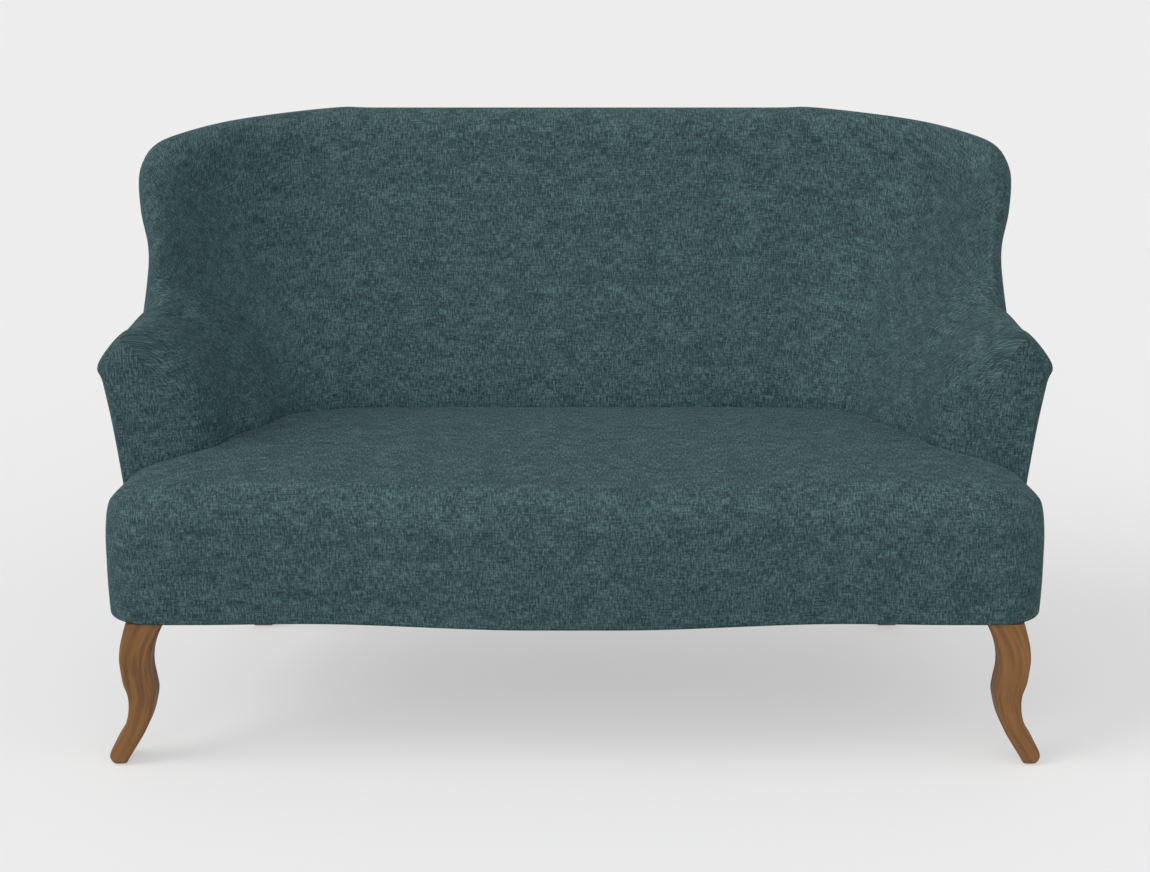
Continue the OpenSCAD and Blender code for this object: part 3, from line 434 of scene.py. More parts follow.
def piece(name, patches, finish, sharp=50):
    """An object from grids of points. Each patch is (points, uv, flip). Points at the same place
    become one, so that seams and poles close, and quads that lose a corner become triangles.
    Edges over the sharp angle, in degrees, stay sharp."""
    points = np.concatenate([p.reshape(-1, 3) for p, uv, flip in patches])
    uvs = np.concatenate([uv.reshape(-1, 2) for p, uv, flip in patches])
    quads, first = [], 0
    for p, uv, flip in patches:
        quads.append(grid_faces(p.shape[0], p.shape[1], first, flip))
        first += p.shape[0] * p.shape[1]
    quads = np.concatenate(quads)
    keys = np.round(points * MERGE_PER_METRE).astype(np.int64)
    unique, index, back = np.unique(keys, axis=0, return_index=True, return_inverse=True)
    back = back.reshape(-1)
    merged = back[quads]
    same = merged == np.roll(merged, -1, axis=1)
    across = (merged[:, 0] == merged[:, 2]) | (merged[:, 1] == merged[:, 3])
    counts = same.sum(1)
    faces = [merged[(counts == 0) & ~across]]
    loops = [quads[(counts == 0) & ~across]]
    for k in range(4):
        hit = (counts == 1) & same[:, k] & ~across
        faces.append(np.delete(merged[hit], k, axis=1))
        loops.append(np.delete(quads[hit], k, axis=1))
    mesh = bpy.data.meshes.new(name)
    flat = np.concatenate([f.reshape(-1) for f in faces]).astype(np.int32)
    source = np.concatenate([f.reshape(-1) for f in loops])
    totals = np.concatenate([np.full(len(f), f.shape[1]) for f in faces])
    starts = np.concatenate([[0], np.cumsum(totals)[:-1]]).astype(np.int32)
    mesh.vertices.add(len(unique))
    mesh.vertices.foreach_set("co", points[index].astype(np.float32).reshape(-1))
    mesh.loops.add(len(flat))
    mesh.loops.foreach_set("vertex_index", flat)
    mesh.polygons.add(len(totals))
    mesh.polygons.foreach_set("loop_start", starts)
    mesh.update(calc_edges=True)
    layer = mesh.uv_layers.new(name="weave")
    layer.data.foreach_set("uv", uvs[source].astype(np.float32).reshape(-1))
    mesh.polygons.foreach_set("use_smooth", np.ones(len(totals), bool))
    mesh.set_sharp_from_angle(angle=math.radians(sharp))
    mesh.validate()
    mesh.materials.append(finish)
    thing = bpy.data.objects.new(name, mesh)
    bpy.context.scene.collection.objects.link(thing)
    return thing


def slab(outer, inner, uv):
    """A closed body between two grids: both faces and the four walls between their edges."""
    patches = [(outer, uv, False), (inner, uv, True)]
    edges = ((np.s_[0, :], True), (np.s_[-1, :], False), (np.s_[:, 0], False),
             (np.s_[:, -1], True))
    for edge, flip in edges:
        wall = np.stack([outer[edge], inner[edge]])
        patches.append((wall, np.stack([uv[edge], uv[edge]]), flip))
    return patches


def mirror(patches, shift):
    """The same grids on the other side, with the pattern moved so that it isn't a copy."""
    return [(p * (-1, 1, 1), uv + shift, not flip) for p, uv, flip in patches]


def place_piece(thing, nodes):
    """Rides the piece on the root body, and hides the solids that it replaces."""
    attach(thing, "root")
    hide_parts(*nodes)


def build_pair(name, patches, shift, slot_name, nodes, sharp=50):
    """The same piece on the right and, mirrored, on the left. %s stands for the side."""
    for side, grids in (("right", patches), ("left", mirror(patches, shift))):
        thing = piece(name % side, grids, material(slot_name), sharp)
        place_piece(thing, [node % side for node in nodes])


# Finishes

class Nodes:
    """A new material, and short ways to add its nodes and join them."""

    def __init__(self, name):
        self.material = bpy.data.materials.new(name)
        self.material.use_nodes = True
        self.tree = self.material.node_tree
        self.shader = self.tree.nodes["Principled BSDF"]

    def add(self, kind, values=(), **settings):
        """A node with its settings, and values or sockets for its inputs."""
        node = self.tree.nodes.new(kind)
        for key, value in settings.items():
            setattr(node, key, value)
        for key, value in dict(values).items():
            self.put(node.inputs[key], value)
        return node

    def put(self, socket, value):
        """Links a socket to an input, or sets a value there."""
        if isinstance(value, bpy.types.NodeSocket):
            self.tree.links.new(value, socket)
        elif socket.type == "RGBA":
            socket.default_value = (*value, 1)
        else:
            socket.default_value = value

    def place(self, kind):
        """UV or Object coordinates."""
        return self.add("ShaderNodeTexCoord").outputs[kind]

    def maths(self, operation, a, b, clamp=False):
        """The operation on two values, held between 0 and 1 if clamp is set."""
        node = self.add("ShaderNodeMath", {0: a, 1: b}, operation=operation, use_clamp=clamp)
        return node.outputs[0]

    def ramp(self, value, low, high, weight=1.0):
        """0 below low and the weight above high, smoothly."""
        node = self.add("ShaderNodeMapRange", {0: value, 1: low, 2: high, 3: 0.0, 4: weight},
                        interpolation_type="SMOOTHSTEP")
        return node.outputs[0]

    def spread(self, value, low, high):
        """From low to high as the value goes from 0 to 1."""
        node = self.add("ShaderNodeMapRange", {0: value, 1: 0.0, 2: 1.0, 3: low, 4: high})
        return node.outputs[0]

    def blend(self, factor, a, b):
        """From colour a to colour b by the factor."""
        node = self.add("ShaderNodeMix", data_type="RGBA")
        self.put(node.inputs[0], factor)
        self.put(node.inputs[6], a)
        self.put(node.inputs[7], b)
        return node.outputs[2]

    def noise(self, vector, scale, detail=2.0, rough=0.5, stretch=(1, 1, 1), place=(0, 0, 0)):
        """Noise of so many grains a metre, finer detail of some roughness, stretched, moved."""
        spread = self.add("ShaderNodeMapping", {0: vector, 1: place, 3: stretch})
        node = self.add("ShaderNodeTexNoise", {"Vector": spread.outputs[0], "Scale": scale,
                                               "Detail": detail, "Roughness": rough})
        return node.outputs[0]

    def surface(self, height, distance, strength, **constants):
        """Sets the bump from a height, and the shader's constants, and gives the material."""
        node = self.add("ShaderNodeBump", {"Strength": strength, "Distance": distance,
                                           "Height": height})
        self.put(self.shader.inputs["Normal"], node.outputs[0])
        for name, value in constants.items():
            self.shader.inputs[name.replace("_", " ")].default_value = value
        return self.material


def times(tone, factor):
    """A colour made darker or lighter, white at the most."""
    return tuple(min(1, v * factor) for v in tone)


# Noises of the weave: size, detail, roughness, stretch and place
WEAVE = {
    "grain": (300, 1, .5),
    "upright": (420, 1, .5, (1, .18, 1), (1.3, 8.2, 0)),
    "level": (400, 1, .5, (.14, 1, 1), (5.5, 2.5, 0)),
    "mottle": (60, 2, .6, (.55, 1, 1), (2.2, .7, 0)),
    "cloud": (17, 3, .6, (1, 1.3, 1), (.4, 3.3, 0)),
    "slubs": (34, 3, .6, (1, 4.2, 1), (3.1, 1.7, 0)),
}
WEAVE_WEIGHTS = {"grain": 1.3, "upright": 1.9, "level": 1.0, "mottle": .8, "cloud": .6}
WEAVE_MIDDLE, WEAVE_POWER = .5, 1.5


def cover_fabric(name, dark, light):
    """Woven cloth. Its shade, from dark to light, is a half plus each noise's weight times what
    that noise has over a half: fine grain, upright threads, level threads, two sizes of mottle.
    Sparse long slubs darken it, and a power makes the light threads the rarer ones."""
    n = Nodes(name)
    where = n.place("UV")
    noises = {name: n.noise(where, *values) for name, values in WEAVE.items()}
    shade = WEAVE_MIDDLE
    for name, weight in WEAVE_WEIGHTS.items():
        over = n.maths("SUBTRACT", noises[name], WEAVE_MIDDLE)
        shade = n.maths("ADD", n.maths("MULTIPLY", over, weight), shade)
    slubs = n.ramp(noises["slubs"], low=.56, high=.72, weight=.12)
    shade = n.maths("SUBTRACT", shade, slubs, clamp=True)
    shade = n.maths("POWER", shade, WEAVE_POWER)
    n.put(n.shader.inputs["Base Color"], n.blend(shade, dark, light))
    threads = n.maths("ADD", noises["upright"], noises["level"])
    return n.surface(n.maths("ADD", noises["grain"], threads), distance=.0005, strength=.7,
                     Roughness=.95, Specular_IOR_Level=.12, Sheen_Weight=.05,
                     Sheen_Roughness=.5, Sheen_Tint=(.75, .95, 1, 1))


def wood(name, light, dark, size, gloss, kind, stretch):
    """Wood: long grain from stretched noise, pores finer than it, and a broad change of tone.
    The gloss is the least roughness, and the pores are duller."""
    n = Nodes(name)
    where = n.place(kind)
    grain = n.noise(where, size, detail=4, rough=.6, stretch=stretch)
    pores = n.noise(where, 7 * size, rough=.6, stretch=stretch, place=(2, 3, 1))
    tone = n.noise(where, 7, stretch=(1, .6, 1), place=(4, 1, 2))
    body = n.blend(n.ramp(grain, low=.38, high=.66), light, dark)
    body = n.blend(n.ramp(pores, low=.52, high=.75, weight=.5), body, dark)
    body = n.blend(n.ramp(tone, low=.4, high=.7, weight=.3), body, times(light, 1.5))
    n.put(n.shader.inputs["Base Color"], body)
    n.put(n.shader.inputs["Roughness"], n.spread(pores, gloss, gloss + .2))
    return n.surface(n.maths("ADD", grain, pores), distance=.0004, strength=.5,
                     Specular_IOR_Level=.3)


def plain_cloth(name, tone, pitch, rough):
    """Plain cloth: threads as fine as the pitch in metres, and a faint mottle."""
    n = Nodes(name)
    where = n.place("Object")
    threads = n.noise(where, 1 / pitch, rough=.6)
    mottle = n.noise(where, 12, detail=3, rough=.6)
    body = n.blend(n.ramp(threads, low=.4, high=.65), times(tone, .7), tone)
    body = n.blend(n.ramp(mottle, low=.4, high=.7, weight=.4), body, times(tone, 1.25))
    n.put(n.shader.inputs["Base Color"], body)
    return n.surface(threads, distance=.0004, strength=.6, Roughness=rough)


def zinc_plated_steel(name, tone):
    """Zinc plated steel: bright grey metal with fine brushed noise."""
    n = Nodes(name)
    brushed = n.noise(n.place("Object"), 900, rough=.6, stretch=(1, 1, .1))
    n.put(n.shader.inputs["Base Color"], n.blend(brushed, tone, times(tone, .8)))
    n.put(n.shader.inputs["Roughness"], n.spread(brushed, .3, .5))
    n.shader.inputs["Metallic"].default_value = 1
    return n.material


def finish_makers():
    """How each finish is made: a function, and what it takes after the name."""
    c = colours()
    return {
        "cover_fabric": (cover_fabric, c.slub, c.fleck),
        "leg_wood": (wood, c.wood, c.wood_dark, 95, .48, "UV", (1, .07, 1)),
        "beech_frame": (wood, c.beech, c.beech_dark, 45, .6, "Object", (1, 1, .1)),
        "dust_lining": (plain_cloth, c.lining, .0012, .9),
        "webbing": (plain_cloth, c.webbing, .0025, .8),
        "platform_cloth": (plain_cloth, c.cloth, .0015, .9),
        "steel": (zinc_plated_steel, c.steel),
    }


def material(name):
    """The finish of that name, made when it is first asked for."""
    if name not in bpy.data.materials or not bpy.data.materials[name].get("settee"):
        maker, *values = finish_makers()[name]
        made = maker(name, *values)
        made.name = name
        made["settee"] = True
        return made
    return bpy.data.materials[name]


# Covers of the arms and the back

# Spacing of the mesh lines, and the lines of the net along which it is measured
BACK_STEP, ARM_STEP, OUTSIDE_STEP = .0065, .006, .009
ARM_LINE, INSIDE_LINE, OUTSIDE_LINE = 3, 6.5, 2
# Padding comes behind the arm's face and over the rim, and thickens down the inside. Each is a
# place on the net and the run over which it comes.
PAD_FACE, PAD_FACE_RUN = 2.02, .03
PAD_RIM, PAD_RIM_RUN = 4.05, .15
PAD_INSIDE, PAD_INSIDE_RUN = 5.8, 1.9
LEAST_DEPTH = .001
SWELL_RUN, BACK_SWELL, ARM_SWELL = .12, .005, .003
ROLL_RUN, FACE_ROLL, CORNER_ROLL, OUTSIDE_ROLL = .8, 5.6, 6.6, 1
CORNER_ROLL_SHARE = .25
# The arm front: where its sides start and where they meet at the top, its lines and its swell
FRONT_LOW, FRONT_TOP, FRONT_FINE = .9, 5.0, 900
RUNGS, RUNG_POINTS, RUNG_POWER = 70, 34, .75
FRONT_ROLL_H, FRONT_ROLL_RUN = .52, .08
FRONT_SWELL, FRONT_SWELL_RUN = .004, .05


def pad_depth(s, t):
    """Thickness of cover and padding: cover alone over the post and low outside, then padding
    that thickens from the rim to the inside faces."""
    z = sizes()
    inside = smooth((t - PAD_INSIDE) / PAD_INSIDE_RUN)
    pad = z.under_cover + mix(z.rim_pad, z.inside_pad, inside)
    padded = (smooth((t - PAD_RIM) / PAD_RIM_RUN)[None, :]
              * smooth((s - PAD_FACE) / PAD_FACE_RUN)[:, None])
    return mix(z.cover_t, pad[None, :], padded)


def shell_uv(points):
    """Pattern place in metres: length along each line from its middle, and length up each
    section from its foot."""
    along, across = run_lengths(points, 0), run_lengths(points, 1)
    return np.stack([along - along[-1:] / 2, across[:, -1:] - across], -1)


def shell_piece(net, s, t, strengths, depth, lift=0):
    """Patches of a piece of the surface: rolled at its edges, lifted along its normals, and
    closed at a depth below."""
    points, normals = shell(net, s, t)
    down = rolled_depth(points, strengths, sizes().groove) - lift
    outer = points - normals * down[..., None]
    inner = points - normals * np.maximum(depth, down + LEAST_DEPTH)[..., None]
    return slab(outer, inner, shell_uv(points))


def swell(net, s, t, height):
    """A low swell: the height times a rise from every edge, level over the middle."""
    points = shell(net, s, t)[0]
    along, across = run_lengths(points, 0), run_lengths(points, 1)
    near_s = np.minimum(along, along[-1:] - along)
    near_t = np.minimum(across, across[:, -1:] - across)
    return height * smooth(near_s / SWELL_RUN) * smooth(near_t / SWELL_RUN)


def corner_roll(t):
    """Strength of the roll where an arm meets the back: none on the rim, weak down the inside."""
    return CORNER_ROLL_SHARE * smooth((t - CORNER_ROLL) / ROLL_RUN)


def build_inside_back(net):
    """Inside back: from seam to seam across the wings and crest, and from the outside of the rim
    down to the seat."""
    s, t = shell_lines(net, (SEAM, 2 * MIDDLE - SEAM), (SPLIT, LAST_T), BACK_STEP, MIDDLE,
                       INSIDE_LINE, (True, True, True, False))
    patches = shell_piece(net, s, t, (corner_roll(t), corner_roll(t), 1, 0), pad_depth(s, t),
                          swell(net, s, t, BACK_SWELL))
    thing = piece("inside_back", patches, material("cover_fabric"))
    place_piece(thing, ["inside_back_cover", "back_padding"])


def build_arms(net):
    """Inside arms: from the flat face over the arm top to the seam with the back."""
    s, t = shell_lines(net, (0, SEAM), (SPLIT, LAST_T), ARM_STEP, ARM_LINE, INSIDE_LINE,
                       (True, True, True, False))
    face = smooth((FACE_ROLL - t) / ROLL_RUN)
    patches = shell_piece(net, s, t, (face, corner_roll(t), 1, 0), pad_depth(s, t),
                          swell(net, s, t, ARM_SWELL))
    build_pair("%s_arm", patches, (.37, .21), "cover_fabric",
               ["%s_inside_arm_cover", "%s_arm_padding"])


def build_outside(net):
    """Outside arms and outside back: tight covers over the frame, rolled at their seams."""
    cover_t, all_close = sizes().cover_t, (True, True, True, True)
    s, t = shell_lines(net, (0, REAR), (0, SPLIT), OUTSIDE_STEP, SEAM, OUTSIDE_LINE, all_close)
    patches = shell_piece(net, s, t, (smooth(t - OUTSIDE_ROLL), 1, 1, 1), cover_t)
    build_pair("%s_outside_arm", patches, (.17, .4), "cover_fabric", ["%s_outside_arm_cover"])
    s, t = shell_lines(net, (REAR, 2 * MIDDLE - REAR), (0, SPLIT), OUTSIDE_STEP, MIDDLE,
                       OUTSIDE_LINE, all_close)
    patches = shell_piece(net, s, t, (1, 1, 1, 1), cover_t)
    thing = piece("outside_back", patches, material("cover_fabric"))
    place_piece(thing, ["outside_back_cover"])


def at_shares(line, shares):
    """Points at shares of the length of a line of points."""
    run = run_lengths(line, 0)
    return np.stack([np.interp(shares * run[-1], run, line[:, k]) for k in range(3)], -1)


def build_arm_fronts(net):
    """Arm fronts: rungs between the outer and the inner side of the arm section, at equal shares
    of their lengths, with a low swell and an edge that rolls into the seam. The shares are a
    power of the sine of even angles, so that rungs are closer to the top."""
    z = sizes()
    many = np.linspace(0, 1, FRONT_FINE)
    start = np.array([0.0])
    rise = np.sin(np.linspace(0, math.pi / 2, RUNGS)) ** RUNG_POWER
    left = at_shares(shell(net, start, mix(FRONT_LOW, FRONT_TOP, many))[0][0], rise)
    right = at_shares(shell(net, start, mix(LAST_T, FRONT_TOP, many))[0][0], rise)
    turn = (1 - np.cos(np.linspace(0, math.pi, RUNG_POINTS)))[None, :] / 2
    points = mix(left[:, None], right[:, None], turn[..., None])
    width = np.linalg.norm(right - left, axis=-1)[:, None]
    to_outer, to_inner = width * turn, width * (1 - turn)
    to_top = left[-1, 2] - points[..., 2]
    strength = smooth((points[..., 2] - FRONT_ROLL_H) / FRONT_ROLL_RUN)
    down = strength * roll(np.minimum(to_outer, to_top), z.groove)
    # The inner side meets the inside arm without a groove
    down[:, -1] = 0
    lift = FRONT_SWELL
    for span in (to_outer, to_inner, to_top):
        lift = lift * smooth(span / FRONT_SWELL_RUN)
    outer = points + (0, 1, 0) * (down - lift)[..., None]
    inner = points + (0, z.cover_t, 0) + (0, 1, 0) * down[..., None]
    patches = slab(outer, inner, points[..., [0, 2]])
    build_pair("%s_arm_front", patches, (.11, .3), "cover_fabric", ["%s_arm_front_panel"])


# Seat

# Shares of the half width: the bow's end, its flat middle as a share of that, and the flare
BOW_SHARE, BOW_FLAT_SHARE, FLARE_SHARE = .57, .15, .23
FALL_POWER, FALL_ROUND = 1.2, .34
DRAW_POWER, TOP_DRAW_POWER = 8, 32
LEAN_FOOT, LEAN_TOP = .0065, .0025
# The line of the net that the seat meets, and how many places are taken along arm and back
TUCK_LINE, ARM_PLACES, BACK_PLACES = 9.35, 120, 200
REAR_R = .012
BORDER_LENGTH, BORDER_STEP = .1, .006
EDGE_LINES, TOP_LINES, REAR_LINES, TUCK_LINES = 26, 66, 10, 8
# Sections over the middle, round a corner and near a side, and the reach of the last
MIDDLE_SECTIONS, CORNER_SECTIONS, SIDE_SECTIONS, SIDE_REACH = 92, 30, 24, .055
# The end walls start this share of the edge width from the sides
END_SHARE = .13
SKIRT_LINES, WALL_LINES, PATTERN_LINE = 16, 30, 12


def bow_y(x):
    """y of the seat front: forward by the bow in the middle, on the line at the quarter points,
    then forward by a small flare. Both are smooth rises over shares of the half width."""
    z = sizes()
    q = abs(x) / (z.seat_w / 2)
    rise = smooth((q / BOW_SHARE - BOW_FLAT_SHARE) / (1 - BOW_FLAT_SHARE))
    flare = z.corner_flare * smooth((q - BOW_SHARE) / FLARE_SHARE)
    return np.where(q < BOW_SHARE, z.front_bow * (rise - 1), -flare)


def front_y(x):
    """The bowed front, and a quarter circle round each corner: radius less the square root of
    the radius squared less the way past the corner's start squared."""
    z = sizes()
    corner_x = z.seat_w / 2 - z.corner_r
    past = np.clip(abs(x) - corner_x, 0, z.corner_r)
    return (bow_y(np.minimum(abs(x), corner_x)) + z.corner_r
            - np.sqrt(np.maximum(z.corner_r ** 2 - past ** 2, 0)))


def side_fall(x):
    """Fall of the top at the sides: the height times 1 - (1 - q^1.2)^0.34, where q goes from 0
    to 1 over the width of the fall."""
    z = sizes()
    q = np.clip((abs(x) - (z.seat_w / 2 - z.side_fall_w)) / z.side_fall_w, 0, 1)
    return z.side_fall_h * (1 - (1 - q ** FALL_POWER) ** FALL_ROUND)


def crown_z(x, y):
    """Height of the seat top: the seat height, less the crown times the square of the way from
    mid-depth to the front or back, less the fall at the sides."""
    z = sizes()
    mid = z.seat_d / 2
    return z.seat_h - z.seat_crown * ((y - mid) / mid) ** 2 - side_fall(x)


def seat_rear(net, x):
    """Where the arms and the back meet the seat, a tuck clearance in front of them."""
    z = sizes()
    s = np.concatenate([np.linspace(0, SEAM, ARM_PLACES),
                        np.linspace(SEAM, MIDDLE, BACK_PLACES)[1:]])
    points, normals = shell(net, s, np.array([TUCK_LINE]))
    line = (points + normals * z.tuck_fit)[:, 0]
    order = np.argsort(line[:, 0])
    y = np.interp(abs(x), line[order, 0], line[order, 1]) - front_line()
    return np.where(abs(x) >= line[0, 0], z.nose_d - z.tuck_fit, y)


def drawn_in(x, y, z):
    """x times 1, less the draw-in over the half width beside the arms, less a lean in front of
    them. Both go with the 8th power of the share of the half width, and what the top lacks of
    the draw-in with the 32nd."""
    s = sizes()
    half = s.seat_w / 2
    up = np.clip((z - s.base_h) / (tuck_h() - s.base_h), 0, 1)
    far = abs(x) / half
    back = smooth((y - s.corner_r) / (s.nose_d - s.corner_r))
    draw = (s.side_in * far ** DRAW_POWER
            - (s.side_in - s.side_in_top) * up * far ** TOP_DRAW_POWER)
    lean = far ** DRAW_POWER * mix(LEAN_FOOT, LEAN_TOP, up)
    return x * (1 - draw / half * back - lean * (1 - back))


def onward(end, count):
    """Even values from 0 to the end, without the first, as a row."""
    return np.linspace(0, end, count)[None, 1:]


def seat_sections(net, xs):
    """Seat sections at each x, in the fit frame: up the border, over the rounded edge, back over
    the crowned top, and round the rear edge down into the tuck."""
    z = sizes()
    x = xs[:, None]
    front, rear = front_y(x), seat_rear(net, x)
    turn_y = rear - REAR_R
    edge_y = front + z.edge_w
    foot_z = crown_z(x, edge_y) - z.edge_h
    last_z = crown_z(x, turn_y)
    up = stations(np.array([(0, 0, 0), (0, 0, BORDER_LENGTH)]), BORDER_STEP, True, False)[None, :]
    low = mix(z.base_h, foot_z, up)
    bulge = z.border_bulge * np.sin(math.pi * up)
    edge, back = onward(math.pi / 2, EDGE_LINES), onward(math.pi / 2, REAR_LINES)
    top_y = mix(edge_y, turn_y, onward(1, TOP_LINES))
    end_z = np.where(abs(x) > z.seat_w / 2 - z.edge_w * END_SHARE, z.base_h,
                     tuck_h() - side_fall(x))
    down = onward(1, TUCK_LINES)
    ys, zs = (np.concatenate(parts, 1) for parts in zip(
        (front + roll(low - z.base_h, z.hem_in) - bulge, low),
        (edge_y - z.edge_w * np.cos(edge), foot_z + z.edge_h * np.sin(edge)),
        (top_y, crown_z(x, top_y)),
        (turn_y + REAR_R * np.sin(back), last_z - REAR_R * (1 - np.cos(back))),
        (rear * np.ones_like(down), mix(last_z - REAR_R, end_z, down))))
    return ys, zs, drawn_in(np.broadcast_to(x, ys.shape), ys, zs)


def seat_places():
    """x of each seat section, to a micrometre: even over the middle, and at the sines of even
    angles round the corners and near the sides."""
    z = sizes()
    corner_x = z.seat_w / 2 - z.corner_r
    middle = np.linspace(0, corner_x, MIDDLE_SECTIONS)
    corner = corner_x + z.corner_r * np.sin(onward(math.pi / 2, CORNER_SECTIONS)[0])
    side = z.seat_w / 2 - SIDE_REACH + SIDE_REACH * np.sin(
        np.linspace(0, math.pi / 2, SIDE_SECTIONS))
    right = np.unique(np.round(np.concatenate([middle, corner, side]), 6))
    return np.concatenate([-right[:0:-1], right])


def build_seat(net):
    """Seat: sections across its width and a side wall at each end, closed below by the line of
    the foam and a thin skirt over the rails."""
    z = sizes()
    xs = seat_places()
    ys, zs, x_all = seat_sections(net, xs)
    shift = front_line()
    outer = np.stack([x_all, ys + shift, zs], -1)
    # Inside: a thin skirt below the foam, then the flat underside of the foam
    n = zs.shape[1]
    number = np.arange(n)[None, :]
    skirt = zs <= z.foam_foot
    front_in, rear_in = ys[:, :1] + z.cover_t, ys[:, -1:] - z.cover_t
    way = np.clip((number - SKIRT_LINES) / (n - SKIRT_LINES - 1), 0, 1)
    inner_y = np.where(skirt & (number < n / 2), ys + z.cover_t, mix(front_in, rear_in, way))
    inner_y = np.where(skirt & (number > n / 2), rear_in, inner_y)
    inner = np.stack([x_all * (1 - z.cover_t / (z.seat_w / 2)), inner_y + shift,
                      np.minimum(zs, z.foam_foot)], -1)
    u = run_lengths(outer, 0)[:, PATTERN_LINE]
    v = run_lengths(outer, 1)
    uv = np.stack([np.broadcast_to((u - u[-1] / 2)[:, None], v.shape), v], -1)
    # Each end wall goes down to the base, with a pattern that runs on from the front
    walls = []
    down = np.linspace(0, 1, WALL_LINES)[:, None]
    for k, side in ((0, -1), (-1, 1)):
        y = np.maximum(ys[k], ys[k, 0])
        foot = np.full(n, z.base_h)
        inner[k] = np.stack([drawn_in(xs[k], y, foot), y + shift, foot], -1)
        wall = mix(outer[k], inner[k], down[..., None])
        over = uv[k, 0, 0] + side * (wall[..., 1] - outer[k, 0, 1])
        walls.append((wall, np.stack([over, wall[..., 2] - z.base_h], -1), side < 0))
    patches = slab(outer, inner, uv)
    patches[2:4] = walls
    thing = piece("seat", patches, material("cover_fabric"))
    place_piece(thing, ["seat_cover", "seat_foam"])


# Legs and lining

# A front leg from the top down: shares of its height, of its sweep and of its width at the top
LEG_SHARES = np.array([
    (1, 0, 1), (.915, .16, .92), (.83, .287, .86), (.743, .352, .82), (.657, .343, .785),
    (.571, .287, .79), (.486, .21, .725), (.4, .241, .655), (.314, .333, .62), (.228, .509, .62),
    (.143, .741, .63), (.057, .944, .56), (0, .965, .34)])
FRONT_LEG_RINGS, FRONT_FOOT_R = 150, .006
REAR_LEG_RINGS, REAR_FOOT_R, REAR_LEG_SOFT = 60, .003, .004
LEG_SHARP = 40


def ring_shares(per_corner=7, per_side=5):
    """A rounded rectangle as four rows: shares of the half sizes, and the cosine and sine of
    each corner's angle."""
    corners = ((1, 1), (-1, 1), (-1, -1), (1, -1))
    parts = []
    for k, (cx, cy) in enumerate(corners):
        nx, ny = corners[(k + 1) % 4]
        f = np.concatenate([np.zeros(per_corner), np.linspace(0, 1, per_side + 2)[1:-1]])
        angles = np.radians(90 * k + np.append(np.linspace(0, 90, per_corner),
                                               np.full(per_side, 90)))
        parts.append((mix(cx, nx, f), mix(cy, ny, f), np.cos(angles), np.sin(angles)))
    rows = np.concatenate(parts, 1)
    return np.concatenate([rows, rows[:, :1]], 1)


def leg_patches(centre, half_x, half_y, radius):
    """A leg: rounded rectangles on centres from the foot up, closed at both ends."""
    a, b, c, s = ring_shares()[:, None, :]
    hx, hy, r = half_x[:, None], half_y[:, None], radius[:, None]
    ring = np.stack([centre[:, :1] + a * (hx - r) + r * c,
                     centre[:, 1:2] + b * (hy - r) + r * s,
                     np.broadcast_to(centre[:, 2:], (len(centre), a.shape[1]))], -1)
    around = run_lengths(ring, 1)
    up = run_lengths(centre[:, None], 0)
    uv = np.stack([around - around[:, -1:] / 2, np.broadcast_to(up, around.shape)], -1)
    ends = []
    for k, flip in ((0, False), (-1, True)):
        middle = np.broadcast_to(centre[k], ring[k].shape)
        ends.append((np.stack([ring[k], middle]), np.stack([uv[k], uv[k]]), flip))
    return [(ring, uv, True)] + ends


def build_legs():
    """Front legs sawn to a cabriole outline and rear legs splayed back, edges softened. The
    cabriole outline is the smooth curve through the rows of shares."""
    z = sizes()
    many = np.ones(FRONT_LEG_RINGS)
    places = np.linspace(len(LEG_SHARES) - 1, 0, FRONT_LEG_RINGS)
    height, sweep, width = (weights(places, len(LEG_SHARES)) @ LEG_SHARES).T
    centre = np.stack([z.leg_x + sweep * z.leg_sweep,
                       (front_line() + z.leg_back + z.leg_t / 2) * many,
                       mix(z.glide_t, z.base_h, height)], -1)
    foot = roll(centre[:, 2] - z.glide_t, FRONT_FOOT_R)
    patches = leg_patches(centre, width * z.leg_top_w / 2, z.leg_t / 2 - foot, z.leg_soft * many)
    build_pair("front_%s_leg_wood", patches, (.5, .7), "leg_wood", ["front_%s_leg"],
               sharp=LEG_SHARP)
    many = np.ones(REAR_LEG_RINGS)
    f = np.linspace(0, 1, REAR_LEG_RINGS)
    top_y = z.seat_d + z.back_foot_t - z.under_cover + front_line()
    deep = mix(z.rear_leg_foot, z.rear_leg_top, f)
    centre = np.stack([z.rear_leg_x * many, mix(top_y + z.rear_splay, top_y, f) - deep / 2,
                       mix(z.glide_t, z.base_h, f)], -1)
    foot = roll(centre[:, 2] - z.glide_t, REAR_FOOT_R)
    patches = leg_patches(centre, z.rear_leg_w / 2 - foot, deep / 2 - foot, REAR_LEG_SOFT * many)
    build_pair("rear_%s_leg_wood", patches, (.2, .9), "leg_wood", ["rear_%s_leg"],
               sharp=LEG_SHARP)


